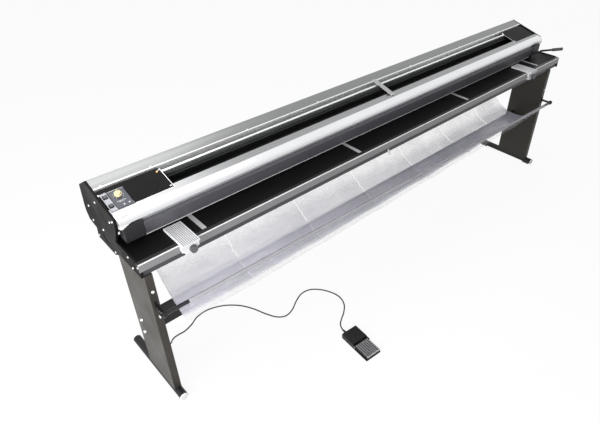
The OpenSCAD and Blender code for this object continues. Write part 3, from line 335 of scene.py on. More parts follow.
# Paint, powder coat, rubber and moulded plastic
Coat = namedtuple("Coat", "base shade rough scale amount bump scuff mark gloss",
                  defaults=(420.0, 0.7, 0.25, 0.25, 2.2, 0.5))
COATS = {
    "leg_paint": Coat("leg", ("leg", 1.35), (0.38, 0.5), 520, 0.8, 0.3, 0.2, 1.6, 0.25),
    "black_paint": Coat("black", ("black", 1.9), (0.32, 0.46), 480, 0.7, 0.2, 0.3, 2.2, 0.25),
    "beam_paint": Coat((0.055, 0.055, 0.058), (0.08, 0.08, 0.084), (0.4, 0.5), 480, 0.7, 0.2, 0.3, 1.8, 0.3),
    "plate_paint": Coat("plate", ("plate", 1.7), (0.5, 0.66), 260, 0.9, 0.5, 0.6, 3.5, 0.1),
    "table_black": Coat("table", ("table", 1.8), (0.45, 0.6), 620, 0.8, 0.25, 0.3, 2.2, 0.08),
    "lid_black": Coat((0.007, 0.0065, 0.0065), (0.012, 0.011, 0.011), (0.40, 0.50), 500, 0.7, 0.15, 0.25,
                      2.2, 0.08),
    "end_block": Coat((0.018, 0.018, 0.021), (0.030, 0.030, 0.034), (0.35, 0.48), 420, 0.8, 0.3, 0.25,
                      2.0, 0.3),
    "rod_grey": Coat((0.016, 0.016, 0.018), (0.035, 0.035, 0.038), (0.3, 0.42), 400, 0.7, 0.15, 0.25,
                     2.2, 0.35),
    "black_plastic": Coat("plastic", ("plastic", 1.9), (0.4, 0.52), 700, 0.8, 0.3, 0.25, 2.2, 0.25),
    "white_plastic": Coat((0.84, 0.84, 0.83), (0.76, 0.76, 0.75), (0.25, 0.36), 500, 0.6, 0.1, 0.3, 0.7),
    "knob_ivory": Coat("knob", ("knob", 0.88), (0.25, 0.35), 500, 0.6, 0.1, 0.3, 0.7),
    "knob_grey": Coat((0.10, 0.10, 0.11), (0.15, 0.15, 0.16), (0.42, 0.55), 600, 0.8, 0.25, 0.25, 2.0, 0.3),
    "duct_grey": Coat((0.045, 0.052, 0.050), (0.075, 0.082, 0.08), (0.45, 0.58), 600, 0.8, 0.2, 0.25,
                      1.8, 0.3),
    "grip_grey": Coat((0.07, 0.07, 0.074), (0.11, 0.11, 0.115), (0.5, 0.62), 800, 0.8, 0.35),
    "gauge_white": Coat("gauge", ("gauge", 0.9), (0.35, 0.45), 420, 0.6, 0.2, 0.5, 0.6),
    "switch_grey": Coat((0.50, 0.50, 0.54), (0.44, 0.44, 0.48), (0.35, 0.45), 500, 0.6, 0.15, 0.3, 0.7),
    "panel_blue": Coat("panel", ("panel", 1.4), (0.32, 0.42), 600, 0.7, 0.12),
    "panel_mark": Coat((0.72, 0.73, 0.76), (0.64, 0.65, 0.68), (0.4, 0.5), 800, 0.5, 0.05, 0.2, 0.7),
    "strip_pale": Coat((0.46, 0.46, 0.46), (0.40, 0.40, 0.40), (0.4, 0.5), 300, 0.7, 0.15, 0.5, 0.6),
    "groove_grey": Coat((0.10, 0.10, 0.105), (0.16, 0.16, 0.165), (0.5, 0.6), 500, 0.7, 0.1),
    "treadle_grey": Coat((0.018, 0.018, 0.019), (0.035, 0.035, 0.037), (0.4, 0.52), 520, 0.8, 0.35, 0.5),
    # Pale pads and nosing on the black rubber treadle: painted highlights of its ribs and front edge
    "nosing_pale": Coat((0.66, 0.65, 0.66), (0.5, 0.5, 0.51), (0.4, 0.5), 300, 0.7, 0.15, 0.4, 0.7),
    "tread_pale": Coat((0.36, 0.35, 0.36), (0.25, 0.25, 0.26), (0.4, 0.5), 300, 0.7, 0.15, 0.4, 0.7),
    "rubber": Coat((0.020, 0.020, 0.020), (0.045, 0.045, 0.045), (0.62, 0.75), 700, 0.8, 0.4),
    "lip_rubber": Coat((0.55, 0.55, 0.56), (0.48, 0.48, 0.49), (0.5, 0.6), 500, 0.6, 0.2, 0.4, 0.6),
}
COAT_SCUFF_SCALE, COAT_PATCH_SCALE = 70.0, 8.0
COAT_RELIEF, FINE_RELIEF = 0.0004, 0.0003

# Anodised or ground metal. A zone lies beyond an edge along an axis of the object
Metal = namedtuple("Metal", "base shade rough density bump scuff metallic zones",
                   defaults=(420.0, 0.015, 0.15, 1.0, ()))
Zone = namedtuple("Zone", "axis edge soft tone")
METALS = {
    "bright_aluminium": Metal((0.88, 0.88, 0.89), (0.78, 0.78, 0.79), (0.22, 0.34)),
    # Darker beyond y 148 on the bar's top: painted shade on the rear of its top, standing in for a crowned
    # top
    "bar_aluminium": Metal("bar", ("bar", 0.93), (0.27, 0.33), metallic=0.8,
                           zones=[Zone("Y", deep(148), 0.0025, ("bar", 0.40))]),
    # White before y 296.5, along the cover's front edge: a painted highlight; behind it the cover's own
    # colour
    "cover_aluminium": Metal((0.93, 0.93, 0.93), (0.85, 0.85, 0.85), (0.34, 0.46),
                             zones=[Zone("Y", deep(296.5), 0.001, "cover")]),
    # Pale on its top front edge above z 0.7775: a painted highlight
    "rail_aluminium": Metal("rail", ("rail", 0.85), (0.36, 0.48), metallic=0.25,
                            zones=[Zone("Z", 0.7775, 0.0006, (0.80, 0.80, 0.80)),
                                   Zone("Y", deep(3.4), 0.0004, (0.008, 0.008, 0.009))]),
    "batten_aluminium": Metal("rail", ("rail", 0.85), (0.36, 0.48)),
    "presser_aluminium": Metal("presser", ("presser", 0.86), (0.4, 0.52), metallic=0.2),
    "steel": Metal((0.62, 0.62, 0.63), (0.5, 0.5, 0.51), (0.2, 0.32), 900, 0.08),
    "screw_zinc": Metal((0.80, 0.80, 0.81), (0.66, 0.66, 0.67), (0.2, 0.32), 900, 0.08),
    "bronze": Metal((0.55, 0.38, 0.17), (0.44, 0.30, 0.14), (0.3, 0.42), 900, 0.1),
}
METAL_SCUFF_SCALE, METAL_PATCH_SCALE = 90.0, 5.0
METAL_PATCH_HIGH = 0.5
METAL_LINE_SHARE = 0.3
METAL_SCUFF_TONE = 0.6
GLOSS_LINES = 1 / 3

# The rear beam's channel, by height. The lip's white is a painted highlight
GROOVE_Z, GROOVE_SOFT = 0.9215, 0.0012
LIP_Z, LIP_SOFT = 0.9335, 0.001
CHANNEL_PAINT = (0.010, 0.0105, 0.0105)
CHANNEL_METAL = (0.36, 0.37, 0.37)
CHANNEL_LIP_HIGHLIGHT = (0.95, 0.95, 0.95)
CHANNEL_METALLIC = 0.8
CHANNEL_GRAIN, PAINT_SHADE = {"Scale": 420.0, "Amount": 0.7}, 1.8
CHANNEL_LINES, METAL_SHADE = {"Density": 650.0, "Low": 0.0, "High": 1.0}, 0.8
CHANNEL_ROUGH, CHANNEL_GLOSS, CHANNEL_BUMP = (0.3, 0.42), 0.3, 0.1

# The film. Its parts begin over these runs from the batten, in metres
TROUGH_RUN, POCKET_RUN, WALL_RUN = (0.25, 0.33), (0.35, 0.39), (0.470, 0.505)
SLEEVE_RUN = (FILM_HANG * MM - 0.012, FILM_HANG * MM + 0.004)
TROUGH_HAZE, POCKET_HAZE = 0.22, 0.30
FILM_MILK = {"Scale": 3.0, "Low": 0.07, "High": 0.19}
WALL_MILK = 0.35
FILM_WHITE = (0.97, 0.97, 1.0)
# Whitening of the front wall (painted light), of the sleeve's wound layers and of the crinkle crests (painted
# highlight)
WALL_PAINTED_LIGHT, SLEEVE_WHITE, RIDGE_SHEEN = 0.7, 0.5, 0.06
WHITE_COVER, COVER_MOST = 0.5, 0.85
CRINKLE = {"Scale": 11.0, "Detail": 4.0, "Roughness": 0.45, "Distortion": 0.7}
CRINKLE_LIE = {"Rotation": (0.3, 0.2, 0.5), "Scale": (1.0, 2.2, 1.6)}
RIDGE_WIDTH = 0.14
FOLD_WANDER = 0.004
FOLD_LINE = (0.001, 0.014)
FOLD_CLEAR, FOLD_PRESSED, FOLD_RELIEF = 0.25, 0.25, 0.2
FILM_ROUGH = (0.10, 0.26)
FILM_GLOSS, FILM_BUMP, FILM_RELIEF = 0.9, 0.6, 0.008

# The cord's sheath
SHEATH_BLACK, SHEATH_SHADE = (0.014, 0.014, 0.015), (0.04, 0.04, 0.042)
SHEATH_GRAIN = {"Scale": 900.0, "Amount": 0.8}
SHEATH_PATCH_SCALE, SHEATH_ROUGH, SHEATH_BUMP = 40.0, (0.42, 0.6), 0.2


def new_material(name):
    """A material with its shader and its Object coordinates."""
    material = bpy.data.materials.new(name + FINISH_END)
    material.use_nodes = True
    tree = material.node_tree
    shader = tree.nodes["Principled BSDF"]
    where = add(tree, "TexCoord").outputs["Object"]
    return material, tree, shader, where


def bumped(tree, shader, height, strength, distance):
    bump = add(tree, "Bump", {"Height": height, "Strength": strength, "Distance": distance})
    tree.links.new(bump.outputs[0], shader.inputs["Normal"])


def lighter(c, k):
    return tuple(min(1.0, v * k) for v in c[:3])


def tone(value):
    """A colour's three numbers, from themselves or from a setting."""
    if isinstance(value, str):
        return tuple(getattr(settings("finish"), value))
    if isinstance(value[0], str):
        return lighter(tone(value[0]), value[1])
    return value


def patchy_rough(tree, shader, where, scale, rough):
    """Roughness that varies in soft patches."""
    patches = effect(tree, "Patches", Vector=where, Scale=scale, Low=rough[0], High=rough[1])
    tree.links.new(patches[0], shader.inputs["Roughness"])


def coated(name, coat):
    """Paint, powder coat, rubber or moulded plastic."""
    material, tree, shader, where = new_material(name)
    base = tone(coat.base)
    grain = effect(tree, "Grain", Vector=where, Scale=coat.scale, Colour=base, Shade=tone(coat.shade),
                   Amount=coat.amount)
    worn = effect(tree, "Scuffs", Vector=where, Scale=COAT_SCUFF_SCALE, Amount=coat.scuff)
    tree.links.new(mix(tree, worn[0], grain[0], lighter(base, coat.mark)), shader.inputs["Base Color"])
    patchy_rough(tree, shader, where, COAT_PATCH_SCALE, coat.rough)
    shader.inputs["Specular IOR Level"].default_value = coat.gloss
    bumped(tree, shader, grain[1], coat.bump, COAT_RELIEF)
    return material


def beyond(tree, where, axis, edge, soft):
    """1 beyond an edge along an axis of the object, 0 before it."""
    value = add(tree, "SeparateXYZ", {0: where}).outputs[axis]
    return ranged(tree, value, edge - soft, edge + soft)


def drawn(name, metal):
    """Anodised or ground metal with lines along its length."""
    material, tree, shader, where = new_material(name)
    shade = tone(metal.shade)
    lines = effect(tree, "Drawn lines", Vector=where, Density=metal.density, Low=0.0, High=1.0)
    soft = effect(tree, "Patches", Vector=where, Scale=METAL_PATCH_SCALE, Low=0.0, High=METAL_PATCH_HIGH)
    share = plus(tree, times(tree, lines[0], METAL_LINE_SHARE), soft[0])
    worn = effect(tree, "Scuffs", Vector=where, Scale=METAL_SCUFF_SCALE, Amount=metal.scuff)
    tinted = mix(tree, worn[0], mix(tree, share, tone(metal.base), shade), lighter(shade, METAL_SCUFF_TONE))
    for zone in metal.zones:
        tinted = mix(tree, beyond(tree, where, zone.axis, zone.edge, zone.soft), tinted, tone(zone.tone))
    tree.links.new(tinted, shader.inputs["Base Color"])
    shader.inputs["Metallic"].default_value = metal.metallic
    gloss = effect(tree, "Drawn lines", Vector=where, Density=metal.density * GLOSS_LINES,
                   Low=metal.rough[0], High=metal.rough[1])
    tree.links.new(gloss[0], shader.inputs["Roughness"])
    bumped(tree, shader, lines[1], metal.bump, FINE_RELIEF)
    return material


def channel_finish(name):
    """The rear beam: painted below the groove, drawn aluminium in the groove, white on the lip as a painted
    highlight.
    """
    material, tree, shader, where = new_material(name)
    grain = effect(tree, "Grain", Vector=where, Colour=CHANNEL_PAINT,
                   Shade=lighter(CHANNEL_PAINT, PAINT_SHADE), **CHANNEL_GRAIN)
    lines = effect(tree, "Drawn lines", Vector=where, **CHANNEL_LINES)
    metal = beyond(tree, where, "Z", GROOVE_Z, GROOVE_SOFT)
    # White above the lip's height: a painted highlight
    lip_highlight = beyond(tree, where, "Z", LIP_Z, LIP_SOFT)
    lined = mix(tree, lines[0], CHANNEL_METAL, lighter(CHANNEL_METAL, METAL_SHADE))
    tinted = mix(tree, lip_highlight, mix(tree, metal, grain[0], lined), CHANNEL_LIP_HIGHLIGHT)
    tree.links.new(tinted, shader.inputs["Base Color"])
    tree.links.new(times(tree, metal, CHANNEL_METALLIC), shader.inputs["Metallic"])
    patchy_rough(tree, shader, where, COAT_PATCH_SCALE, CHANNEL_ROUGH)
    shader.inputs["Specular IOR Level"].default_value = CHANNEL_GLOSS
    bumped(tree, shader, lines[1], CHANNEL_BUMP, FINE_RELIEF)
    return material


def film_finish(name):
    """Clear crinkled film: hazy in the trough, clearer on its front wall and along its upper folds. Its folds
    and crinkle crests are whitened as painted highlights, and its front wall is whitened as painted light.
    """
    material, tree, shader, where = new_material(name)
    flat = add(tree, "UVMap", uv_map="flat").outputs[0]
    along, across = add(tree, "SeparateXYZ", {0: flat}).outputs[:2]
    slant = add(tree, "Mapping", {"Vector": where, **CRINKLE_LIE}).outputs[0]
    crinkle = add(tree, "TexNoise", {"Vector": slant, **CRINKLE}).outputs[0]

    wander = ranged(tree, crinkle, NOISE_LOW, NOISE_HIGH, -FOLD_WANDER, FOLD_WANDER)
    cells = math_of(tree, "FRACT", math_of(tree, "DIVIDE", plus(tree, along, wander), FOLD_PITCH * MM))
    off = math_of(tree, "ABSOLUTE", minus(tree, cells, 0.5))
    fold = ranged(tree, off, *FOLD_LINE, 1.0, 0.0)
    crease = math_of(tree, "ABSOLUTE", minus(tree, crinkle, 0.5))
    ridge = ranged(tree, crease, 0.0, RIDGE_WIDTH, 1.0, 0.0)
    wall, trough, pocket, sleeve = (
        ranged(tree, across, *run) for run in (WALL_RUN, TROUGH_RUN, POCKET_RUN, SLEEVE_RUN)
    )
    inner = minus(tree, 1.0, wall)

    # The sleeve's wound layers turn whiter, and the crinkle crests get a painted highlight
    white = larger(tree, times(tree, sleeve, SLEEVE_WHITE), times(tree, ridge, RIDGE_SHEEN))
    # The folds get a painted highlight, and the front wall painted light
    sleeve_and_painted_light = larger(tree, larger(tree, white, fold), times(tree, wall, WALL_PAINTED_LIGHT))
    tinted = mix(tree, sleeve_and_painted_light, tuple(settings("film").tint), FILM_WHITE)
    tree.links.new(tinted, shader.inputs["Base Color"])

    haze = plus(tree, times(tree, trough, TROUGH_HAZE), times(tree, pocket, POCKET_HAZE))
    milk = effect(tree, "Patches", Vector=where, **FILM_MILK)
    thin = times(tree, milk[0], ranged(tree, wall, 0.0, 1.0, 1.0, WALL_MILK))
    cover = plus(tree, plus(tree, times(tree, inner, haze), thin), times(tree, white, WHITE_COVER))
    opened = times(tree, fold, minus(tree, 1.0, pocket))
    pressed = times(tree, fold, times(tree, pocket, inner))
    cover = plus(tree, times(tree, cover, ranged(tree, opened, 0.0, 1.0, 1.0, FOLD_CLEAR)),
                 times(tree, pressed, FOLD_PRESSED))
    tree.links.new(math_of(tree, "MINIMUM", cover, COVER_MOST), shader.inputs["Alpha"])

    tree.links.new(ranged(tree, crinkle, NOISE_LOW, NOISE_HIGH, *FILM_ROUGH), shader.inputs["Roughness"])
    shader.inputs["Specular IOR Level"].default_value = FILM_GLOSS
    height = plus(tree, crinkle, times(tree, fold, FOLD_RELIEF))
    bumped(tree, shader, height, FILM_BUMP, FILM_RELIEF)
    return material


def cord_finish(name):
    """Black sheath with a fine matt grain."""
    material, tree, shader, where = new_material(name)
    grain = effect(tree, "Grain", Vector=where, Colour=SHEATH_BLACK, Shade=SHEATH_SHADE, **SHEATH_GRAIN)
    tree.links.new(grain[0], shader.inputs["Base Color"])
    patchy_rough(tree, shader, where, SHEATH_PATCH_SCALE, SHEATH_ROUGH)
    bumped(tree, shader, grain[1], SHEATH_BUMP, FINE_RELIEF)
    return material


OTHER_FINISHES = {"channel_rail": channel_finish, "clear_film": film_finish, "cord_black": cord_finish}


def finish_of(name):
    """A finish by its name, made at its first use."""
    made = bpy.data.materials.get(name + FINISH_END)
    if made:
        return made
    if name in COATS:
        return coated(name, COATS[name])
    if name in METALS:
        return drawn(name, METALS[name])
    return OTHER_FINISHES[name](name)


# Meshes

SHARP = 0.6
WELD_NEAR = 1e-5
SOFTEN_ANGLE = math.radians(32)


def block(build, low, high, frame_of):
    """Adds a box between two corners in millimetres, in its own frame."""
    a, b = Vector(low) * MM, Vector(high) * MM
    matrix = frame_of @ Matrix.Translation((a + b) / 2) @ Matrix.Diagonal((*(b - a), 1.0))
    bmesh.ops.create_cube(build, size=1.0, matrix=matrix)


def disc(build, r0, r1, z0, z1, frame_of, segments):
    """Adds a cone or cylinder along its frame's z, in millimetres."""
    up = Matrix.Translation((0, 0, (z0 + z1) / 2 * MM))
    return bmesh.ops.create_cone(
        build, cap_ends=True, cap_tris=False, segments=segments, radius1=r0 * MM, radius2=r1 * MM,
        depth=(z1 - z0) * MM, matrix=frame_of @ up
    )["verts"]


def rounded(build, offset, segments=2):
    """Rounds every sharp edge."""
    sharp = [e for e in build.edges if e.is_manifold and e.calc_face_angle(0.0) > SHARP]
    bmesh.ops.bevel(build, geom=sharp, offset=offset * MM, offset_type="OFFSET", segments=segments,
                    profile=0.5, affect="EDGES", material=-1, clamp_overlap=True)


def piece(name, build, finish, body="machine", smooth=False):
    """Turns a bmesh into a piece that rides on a body."""
    mesh = bpy.data.meshes.new(name)
    bmesh.ops.recalc_face_normals(build, faces=build.faces)
    for face in build.faces:
        face.smooth = smooth
    build.to_mesh(mesh)
    build.free()
    mesh.materials.append(finish_of(finish))
    obj = bpy.data.objects.new(name, mesh)
    bpy.context.scene.collection.objects.link(obj)
    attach(obj, body)
    return obj


def dress(finish, *names):
    """Gives CAD nodes their finish."""
    for name in names:
        slots = NODES[name].data.materials
        slots.clear()
        slots.append(finish_of(finish))


def soften(*names):
    """Rounds the edges of CAD nodes, on top of their own meshes."""
    for name in names:
        weld = NODES[name].modifiers.new("joined", "WELD")
        weld.merge_threshold = WELD_NEAR
        bevel = NODES[name].modifiers.new("edges", "BEVEL")
        bevel.width = settings("trim").edge_round
        bevel.segments = 2
        bevel.limit_method = "ANGLE"
        bevel.angle_limit = SOFTEN_ANGLE
        bevel.harden_normals = False


def toward(at, way):
    """Frame at a point whose z points along a way."""
    return Matrix.Translation(at) @ way.to_track_quat("Z", "Y").to_matrix().to_4x4()


# Cord

CORD_Z = 3.7
CORD_ROUTE = [
    (-1468, 205, 70), (-1450, 205.5, 69.6), (-1430, 212, 64), (-1412, 226, 52), (-1397, 246, 36),
    (-1383, 268, 20), (-1364, 285, 9), (-1338, 291, 4.4), (-1302, 291, CORD_Z), (-1258, 304, CORD_Z),
    (-1206, 330, CORD_Z), (-1140, 334, CORD_Z), (-1065, 304, CORD_Z), (-1003, 248, CORD_Z),
    (-964, 182, CORD_Z), (-938, 112, CORD_Z), (-908, 54, CORD_Z), (-868, 28, CORD_Z), (-818, 38, CORD_Z),
    (-760, 72, CORD_Z), (-705, 93, CORD_Z), (-652, 84, CORD_Z), (-608, 42, CORD_Z), (-580, -15, CORD_Z),
    (-573, -66, CORD_Z), (-592, -118, CORD_Z), (-634, -158, CORD_Z), (-671, -180, CORD_Z + 0.3),
    (-700, -202, CORD_Z + 2.1), (-717, -227, CORD_Z + 5.7), pedal_point(-16, 112, 12.2),
    pedal_point(-16, 100, 13),
]
HANDLE_SHARE = 1 / 6
CORD_ROUNDS, CORD_STEPS = 4, 10
LEG_RELIEF, PEDAL_RELIEF = 22.0, 20.0
RELIEF_RIBS, RIB_FILL = 5, 0.62
RIB_R, RIB_SHRINK, RIB_TAPER = 6.2, 1.8, 0.3
SLEEVE_R = (5.4, 4.0)
RELIEF_SIDES = 24


def relief(name, start, way, reach):
    """A ribbed, tapered sleeve that holds the cord where it leaves a housing."""
    build = bmesh.new()
    frame_of = toward(start, way)
    pitch = reach / RELIEF_RIBS
    for k in range(RELIEF_RIBS):
        r = RIB_R - RIB_SHRINK * k / (RELIEF_RIBS - 1)
        disc(build, r, r - RIB_TAPER, k * pitch, (k + RIB_FILL) * pitch, frame_of, RELIEF_SIDES)
    disc(build, *SLEEVE_R, 0, reach, frame_of, RELIEF_SIDES)
    return piece(name, build, "cord_black")


class TRIMMER_OT_cord(bpy.types.Operator):
    """Lays the pedal's cord from the left leg to the pedal"""

    bl_idname = "trimmer.cord"
    bl_label = "Pedal cord"

    def execute(self, context):
        want = settings("cord")
        points = [place(*p) for p in CORD_ROUTE]
        last = len(points) - 1
        curve = bpy.data.curves.new("pedal_flex", "CURVE")
        curve.dimensions = "3D"
        curve.bevel_depth = want.diameter / 2
        curve.bevel_resolution = CORD_ROUNDS
        curve.resolution_u = CORD_STEPS
        curve.use_fill_caps = True
        spline = curve.splines.new("BEZIER")
        spline.bezier_points.add(last)
        for k, (knot, p) in enumerate(zip(spline.bezier_points, points)):
            slope = (points[min(k + 1, last)] - points[max(k - 1, 0)]) * HANDLE_SHARE
            knot.handle_left_type = knot.handle_right_type = "FREE"
            knot.co, knot.handle_left, knot.handle_right = p, p - slope, p + slope
        flex = bpy.data.objects.new("pedal_flex", curve)
        context.scene.collection.objects.link(flex)
        curve.materials.append(finish_of("cord_black"))
        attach(flex, "machine")
        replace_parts(flex, "pedal_cord")
        reliefs = [
            relief("leg_relief", points[0], Vector((1, 0, 0)), LEG_RELIEF),
            relief("pedal_relief", points[-1], points[-2] - points[-1], PEDAL_RELIEF),
        ]
        return {"FINISHED"}


# Film

FILM_REAR = Vector((354.4, 710.0))
FILM_HANDLES = ((Vector((364, 732)), Vector((-74, 126))), (Vector((426, 295)), Vector((-26, 306))))
FILM_SAG = -53.0
FILM_STEP = 0.01
SLEEVE_TURN = math.radians(322)
SLEEVE_ROWS = 18
SLEEVE_GAP, SLEEVE_GROWTH, SLEEVE_MEAN = 0.8, 0.7, 1.1
FOLD_STAND, HOLD_RISE = 0.8, 3
# Dents of the film: distance along it, count down it and place in the noise
BROAD_DENT, SLANT_DENT = (130.0, 2.6, 4.7), (48.0, 5.0, 11.3)
FINE_DENT, TOP_DENT = (17.0, 16.0, 2.9), (26.0, 3.0, 8.1)
DENT_SLANT, TOP_REACH, FINE_LEAST = 3.0, 3.2, 0.25
DENT_WEIGHTS = (0.55, 0.35, 0.38, 0.6)


def rod_at(x):
    """Depth and height of the rod's middle at x."""
    t = (x - ROD_ENDS[0].x) / (ROD_ENDS[1].x - ROD_ENDS[0].x)
    return ROD_ENDS[0].lerp(ROD_ENDS[1], t).yz


def film_curve(x, t):
    """The film's section at x, from the batten to the rod."""
    s = (x - FILM_X[0]) / (FILM_X[1] - FILM_X[0])
    near = FILM_HANDLES[0][0].lerp(FILM_HANDLES[1][0], s)
    far = FILM_HANDLES[0][1].lerp(FILM_HANDLES[1][1], s)
    far = far + Vector((FILM_SAG * math.sqrt(max(0.0, 4 * s * (1 - s))), 0))
    front = rod_at(x) + Vector((ROD_R + SLEEVE_GAP, 0))
    u = 1 - t
    return u**3 * FILM_REAR + 3 * u * u * t * near + 3 * u * t * t * far + t**3 * front


def film_inward(x, t):
    """Unit step from the section's line into the trough."""
    d = (film_curve(x, min(1.0, t + FILM_STEP)) - film_curve(x, max(0.0, t - FILM_STEP))).normalized()
    return Vector((d.y, -d.x))


def film_dent(x, t, swell, crumple):
    """How far the film stands in from its plain section, in millimetres."""
    def dent(kind, slant=0.0):
        along, down, spot = kind
        return noise.noise(Vector((x / along + slant * t, t * down, spot)))

    fold = abs(math.sin(math.pi * (x - FIRST_FOLD) / FOLD_PITCH))
    hold = math.sin(math.pi * t)
    fine = dent(FINE_DENT) * (FINE_LEAST + (1 - FINE_LEAST) * (1 - fold) ** 3)
    top = dent(TOP_DENT) * max(0.0, 1 - TOP_REACH * t)
    dents = (dent(BROAD_DENT), dent(SLANT_DENT, DENT_SLANT), fine, top)
    rough = sum(w * d for w, d in zip(DENT_WEIGHTS, dents))
    return hold * (fold * swell + FOLD_STAND) + min(1.0, HOLD_RISE * hold) * crumple * rough


class TRIMMER_OT_film(bpy.types.Operator):
    """Hangs the clear film from the batten and winds its front edge on the rod"""

    bl_idname = "trimmer.film"
    bl_label = "Catch film"

    def execute(self, context):
        want = settings("film")
        swell, crumple = want.swell / MM, want.crumple / MM
        all_rows = want.rows + SLEEVE_ROWS
        build = bmesh.new()
        bmesh.ops.create_grid(build, x_segments=want.columns, y_segments=all_rows, size=0.5)
        flat = build.loops.layers.uv.new("flat")
        spot = {}
        for v in build.verts:
            x = FILM_X[0] + (v.co.x + 0.5) * (FILM_X[1] - FILM_X[0])
            row = (v.co.y + 0.5) * all_rows
            if row <= want.rows:
                t = min(1.0, row / want.rows)
                p = film_curve(x, t) + film_inward(x, t) * film_dent(x, t, swell, crumple)
                run = t * FILM_HANG
            else:
                turn = SLEEVE_TURN * (row - want.rows) / SLEEVE_ROWS
                r = ROD_R + SLEEVE_GAP + SLEEVE_GROWTH * turn / SLEEVE_TURN
                p = rod_at(x) + r * Vector((math.cos(turn), math.sin(turn)))
                run = FILM_HANG + turn * r
            spot[v] = ((x - FIRST_FOLD - FOLD_PITCH / 2) * MM, run * MM)
            v.co = place(x, p.x, p.y)
        for face in build.faces:
            for loop in face.loops:
                loop[flat].uv = spot[loop.vert]
        film = piece("film_sheet", build, "clear_film", smooth=True)
        shell = film.modifiers.new("thickness", "SOLIDIFY")
        shell.thickness = want.thickness
        shell.offset = 0.0
        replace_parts(film, "catch_film")
        return {"FINISHED"}


# Metal, paint and plastic of the CAD nodes


class TRIMMER_OT_metalwork(bpy.types.Operator):
    """Finishes the aluminium and steel pieces"""

    bl_idname = "trimmer.metalwork"
    bl_label = "Metalwork"

    def execute(self, context):
        dress("bar_aluminium", "front_bar")
        dress("cover_aluminium", "rear_cover")
        dress("rail_aluminium", "front_rail")
        dress("batten_aluminium", "film_batten")
        dress("presser_aluminium", "presser_bar")
        dress("channel_rail", "rear_beam")
        dress("steel", "counter_blade", "guide_rod", "idler_axle", "pedal_pin", "rotary_blade",
              "drive_pulley", "idler_pulley", "presser_shaft")
        dress("screw_zinc", "stretcher_bolts", "end_screws")
        dress("bronze", "carriage_bushes")
        soften("front_bar", "rear_cover", "front_rail", "presser_bar", "film_batten")
        return {"FINISHED"}


class TRIMMER_OT_paintwork(bpy.types.Operator):
    """Finishes the painted pieces of stand, table and head"""

    bl_idname = "trimmer.paintwork"
    bl_label = "Paintwork"

    def execute(self, context):
        dress("leg_paint", "left_leg", "right_leg")
        dress("black_paint", "foot_tubes", "stretcher_beam", "rod_hangers", "drive_motor", "clamp_lever")
        dress("beam_paint", "table_beam")
        dress("plate_paint", "table_caps", "left_end_plate", "right_end_plate")
        dress("table_black", "table_top")
        dress("lid_black", "left_top_cover", "right_top_cover")
        dress("end_block", "carriage_body", "presser_ends")
        dress("rod_grey", "film_rod")
        dress("gauge_white", "left_gauge", "right_gauge")
        soften("left_leg", "right_leg", "table_caps", "left_end_plate", "right_end_plate", "left_top_cover",
               "right_top_cover", "presser_ends", "clamp_lever", "stretcher_beam")
        return {"FINISHED"}


class TRIMMER_OT_plastics(bpy.types.Operator):
    """Finishes the plastic and rubber pieces"""

    bl_idname = "trimmer.plastics"
    bl_label = "Plastic and rubber"

    def execute(self, context):
        dress("white_plastic", "foot_caps_front", "leg_plugs")
        dress("black_plastic", "foot_caps_rear", "control_box", "power_inlet", "leg_gland", "pedal_base",
              "start_button", "stop_button", "presser_bushes")
        dress("rubber", "foot_glides", "drive_belt")
        dress("lip_rubber", "presser_lip")
        dress("strip_pale", "ruler_strips", "cross_strap")
        dress("grip_grey", "lever_grip")
        dress("knob_grey", "left_gauge_knob", "right_gauge_knob")
        dress("knob_ivory", "selector_knob")
        dress("switch_grey", "switch_strip")
        dress("panel_blue", "control_panel")
        dress("treadle_grey", "pedal_treadle")
        soften("cross_strap", "start_button", "stop_button", "switch_strip", "control_panel",
               "selector_knob", "pedal_base")
        return {"FINISHED"}


# Fittings at the ends of head, rail and rod

SCREW_H = 3.0
SHANK_R, SHANK_REACH, SHANK_SIDES = 2.5, (-10, 0.2), 16
SOCKET_TOP, SOCKET_RIM, SOCKET_WALL, SOCKET_DEPTH = 0.72, 0.3, 0.02, 0.55
BAR_END = [(0, 869), (10, 869), (42, 884), (42, 888), (0, 888)]
BAR_END_Y, BAR_END_DEPTH = 112.2, 15.5
RAIL_PLUG_IN, RAIL_PLUG_ROUND = 4.6, 0.6
RAIL_PLUG = ((-4, 4.2, 749.2), (4, 17.8, 776.8))
RAIL_SCREW_AT, RAIL_SCREW_R = (-HALF_LEN + 0.6, 11, 763), 5.0
ROD_TIP, ROD_TIP_SIDES = (7.6, 6.6, 17.5, 19.5), 28


def loose_parts(mesh):
    """Boxes of a mesh's separate shells."""
    build = bmesh.new()
    build.from_mesh(mesh)
    bmesh.ops.remove_doubles(build, verts=build.verts, dist=1e-6)
    left, boxes = set(build.verts), []
    while left:
        shell, todo = set(), [left.pop()]
        while todo:
            v = todo.pop()
            shell.add(v)
            near = {e.other_vert(v) for e in v.link_edges} & left
            left -= near
            todo += near
        low = Vector(min(v.co[k] for v in shell) for k in range(3))
        high = Vector(max(v.co[k] for v in shell) for k in range(3))
        boxes.append((low, high))
    build.free()
    return sorted(boxes, key=lambda box: tuple(box[0]))


def along_x(at, side):
    """Frame at a point whose z points to the left (-1) or the right (1)."""
    return Matrix.Translation(at) @ Matrix.Rotation(side * math.pi / 2, 4, "Y")


def socket_head(build, frame_of, r, height, segments=24):
    """A domed screw head with a sunk socket."""
    verts = set(disc(build, r, r * SOCKET_TOP, 0, height, frame_of, segments))
    top = max((f for f in build.faces if set(f.verts) <= verts and len(f.verts) == segments),
              key=lambda f: (frame_of.inverted() @ f.calc_center_median()).z)
    bmesh.ops.inset_individual(build, faces=[top], thickness=r * SOCKET_RIM * MM, depth=0.0)
    bmesh.ops.inset_individual(build, faces=[top], thickness=SOCKET_WALL * MM,
                               depth=-height * SOCKET_DEPTH * MM)


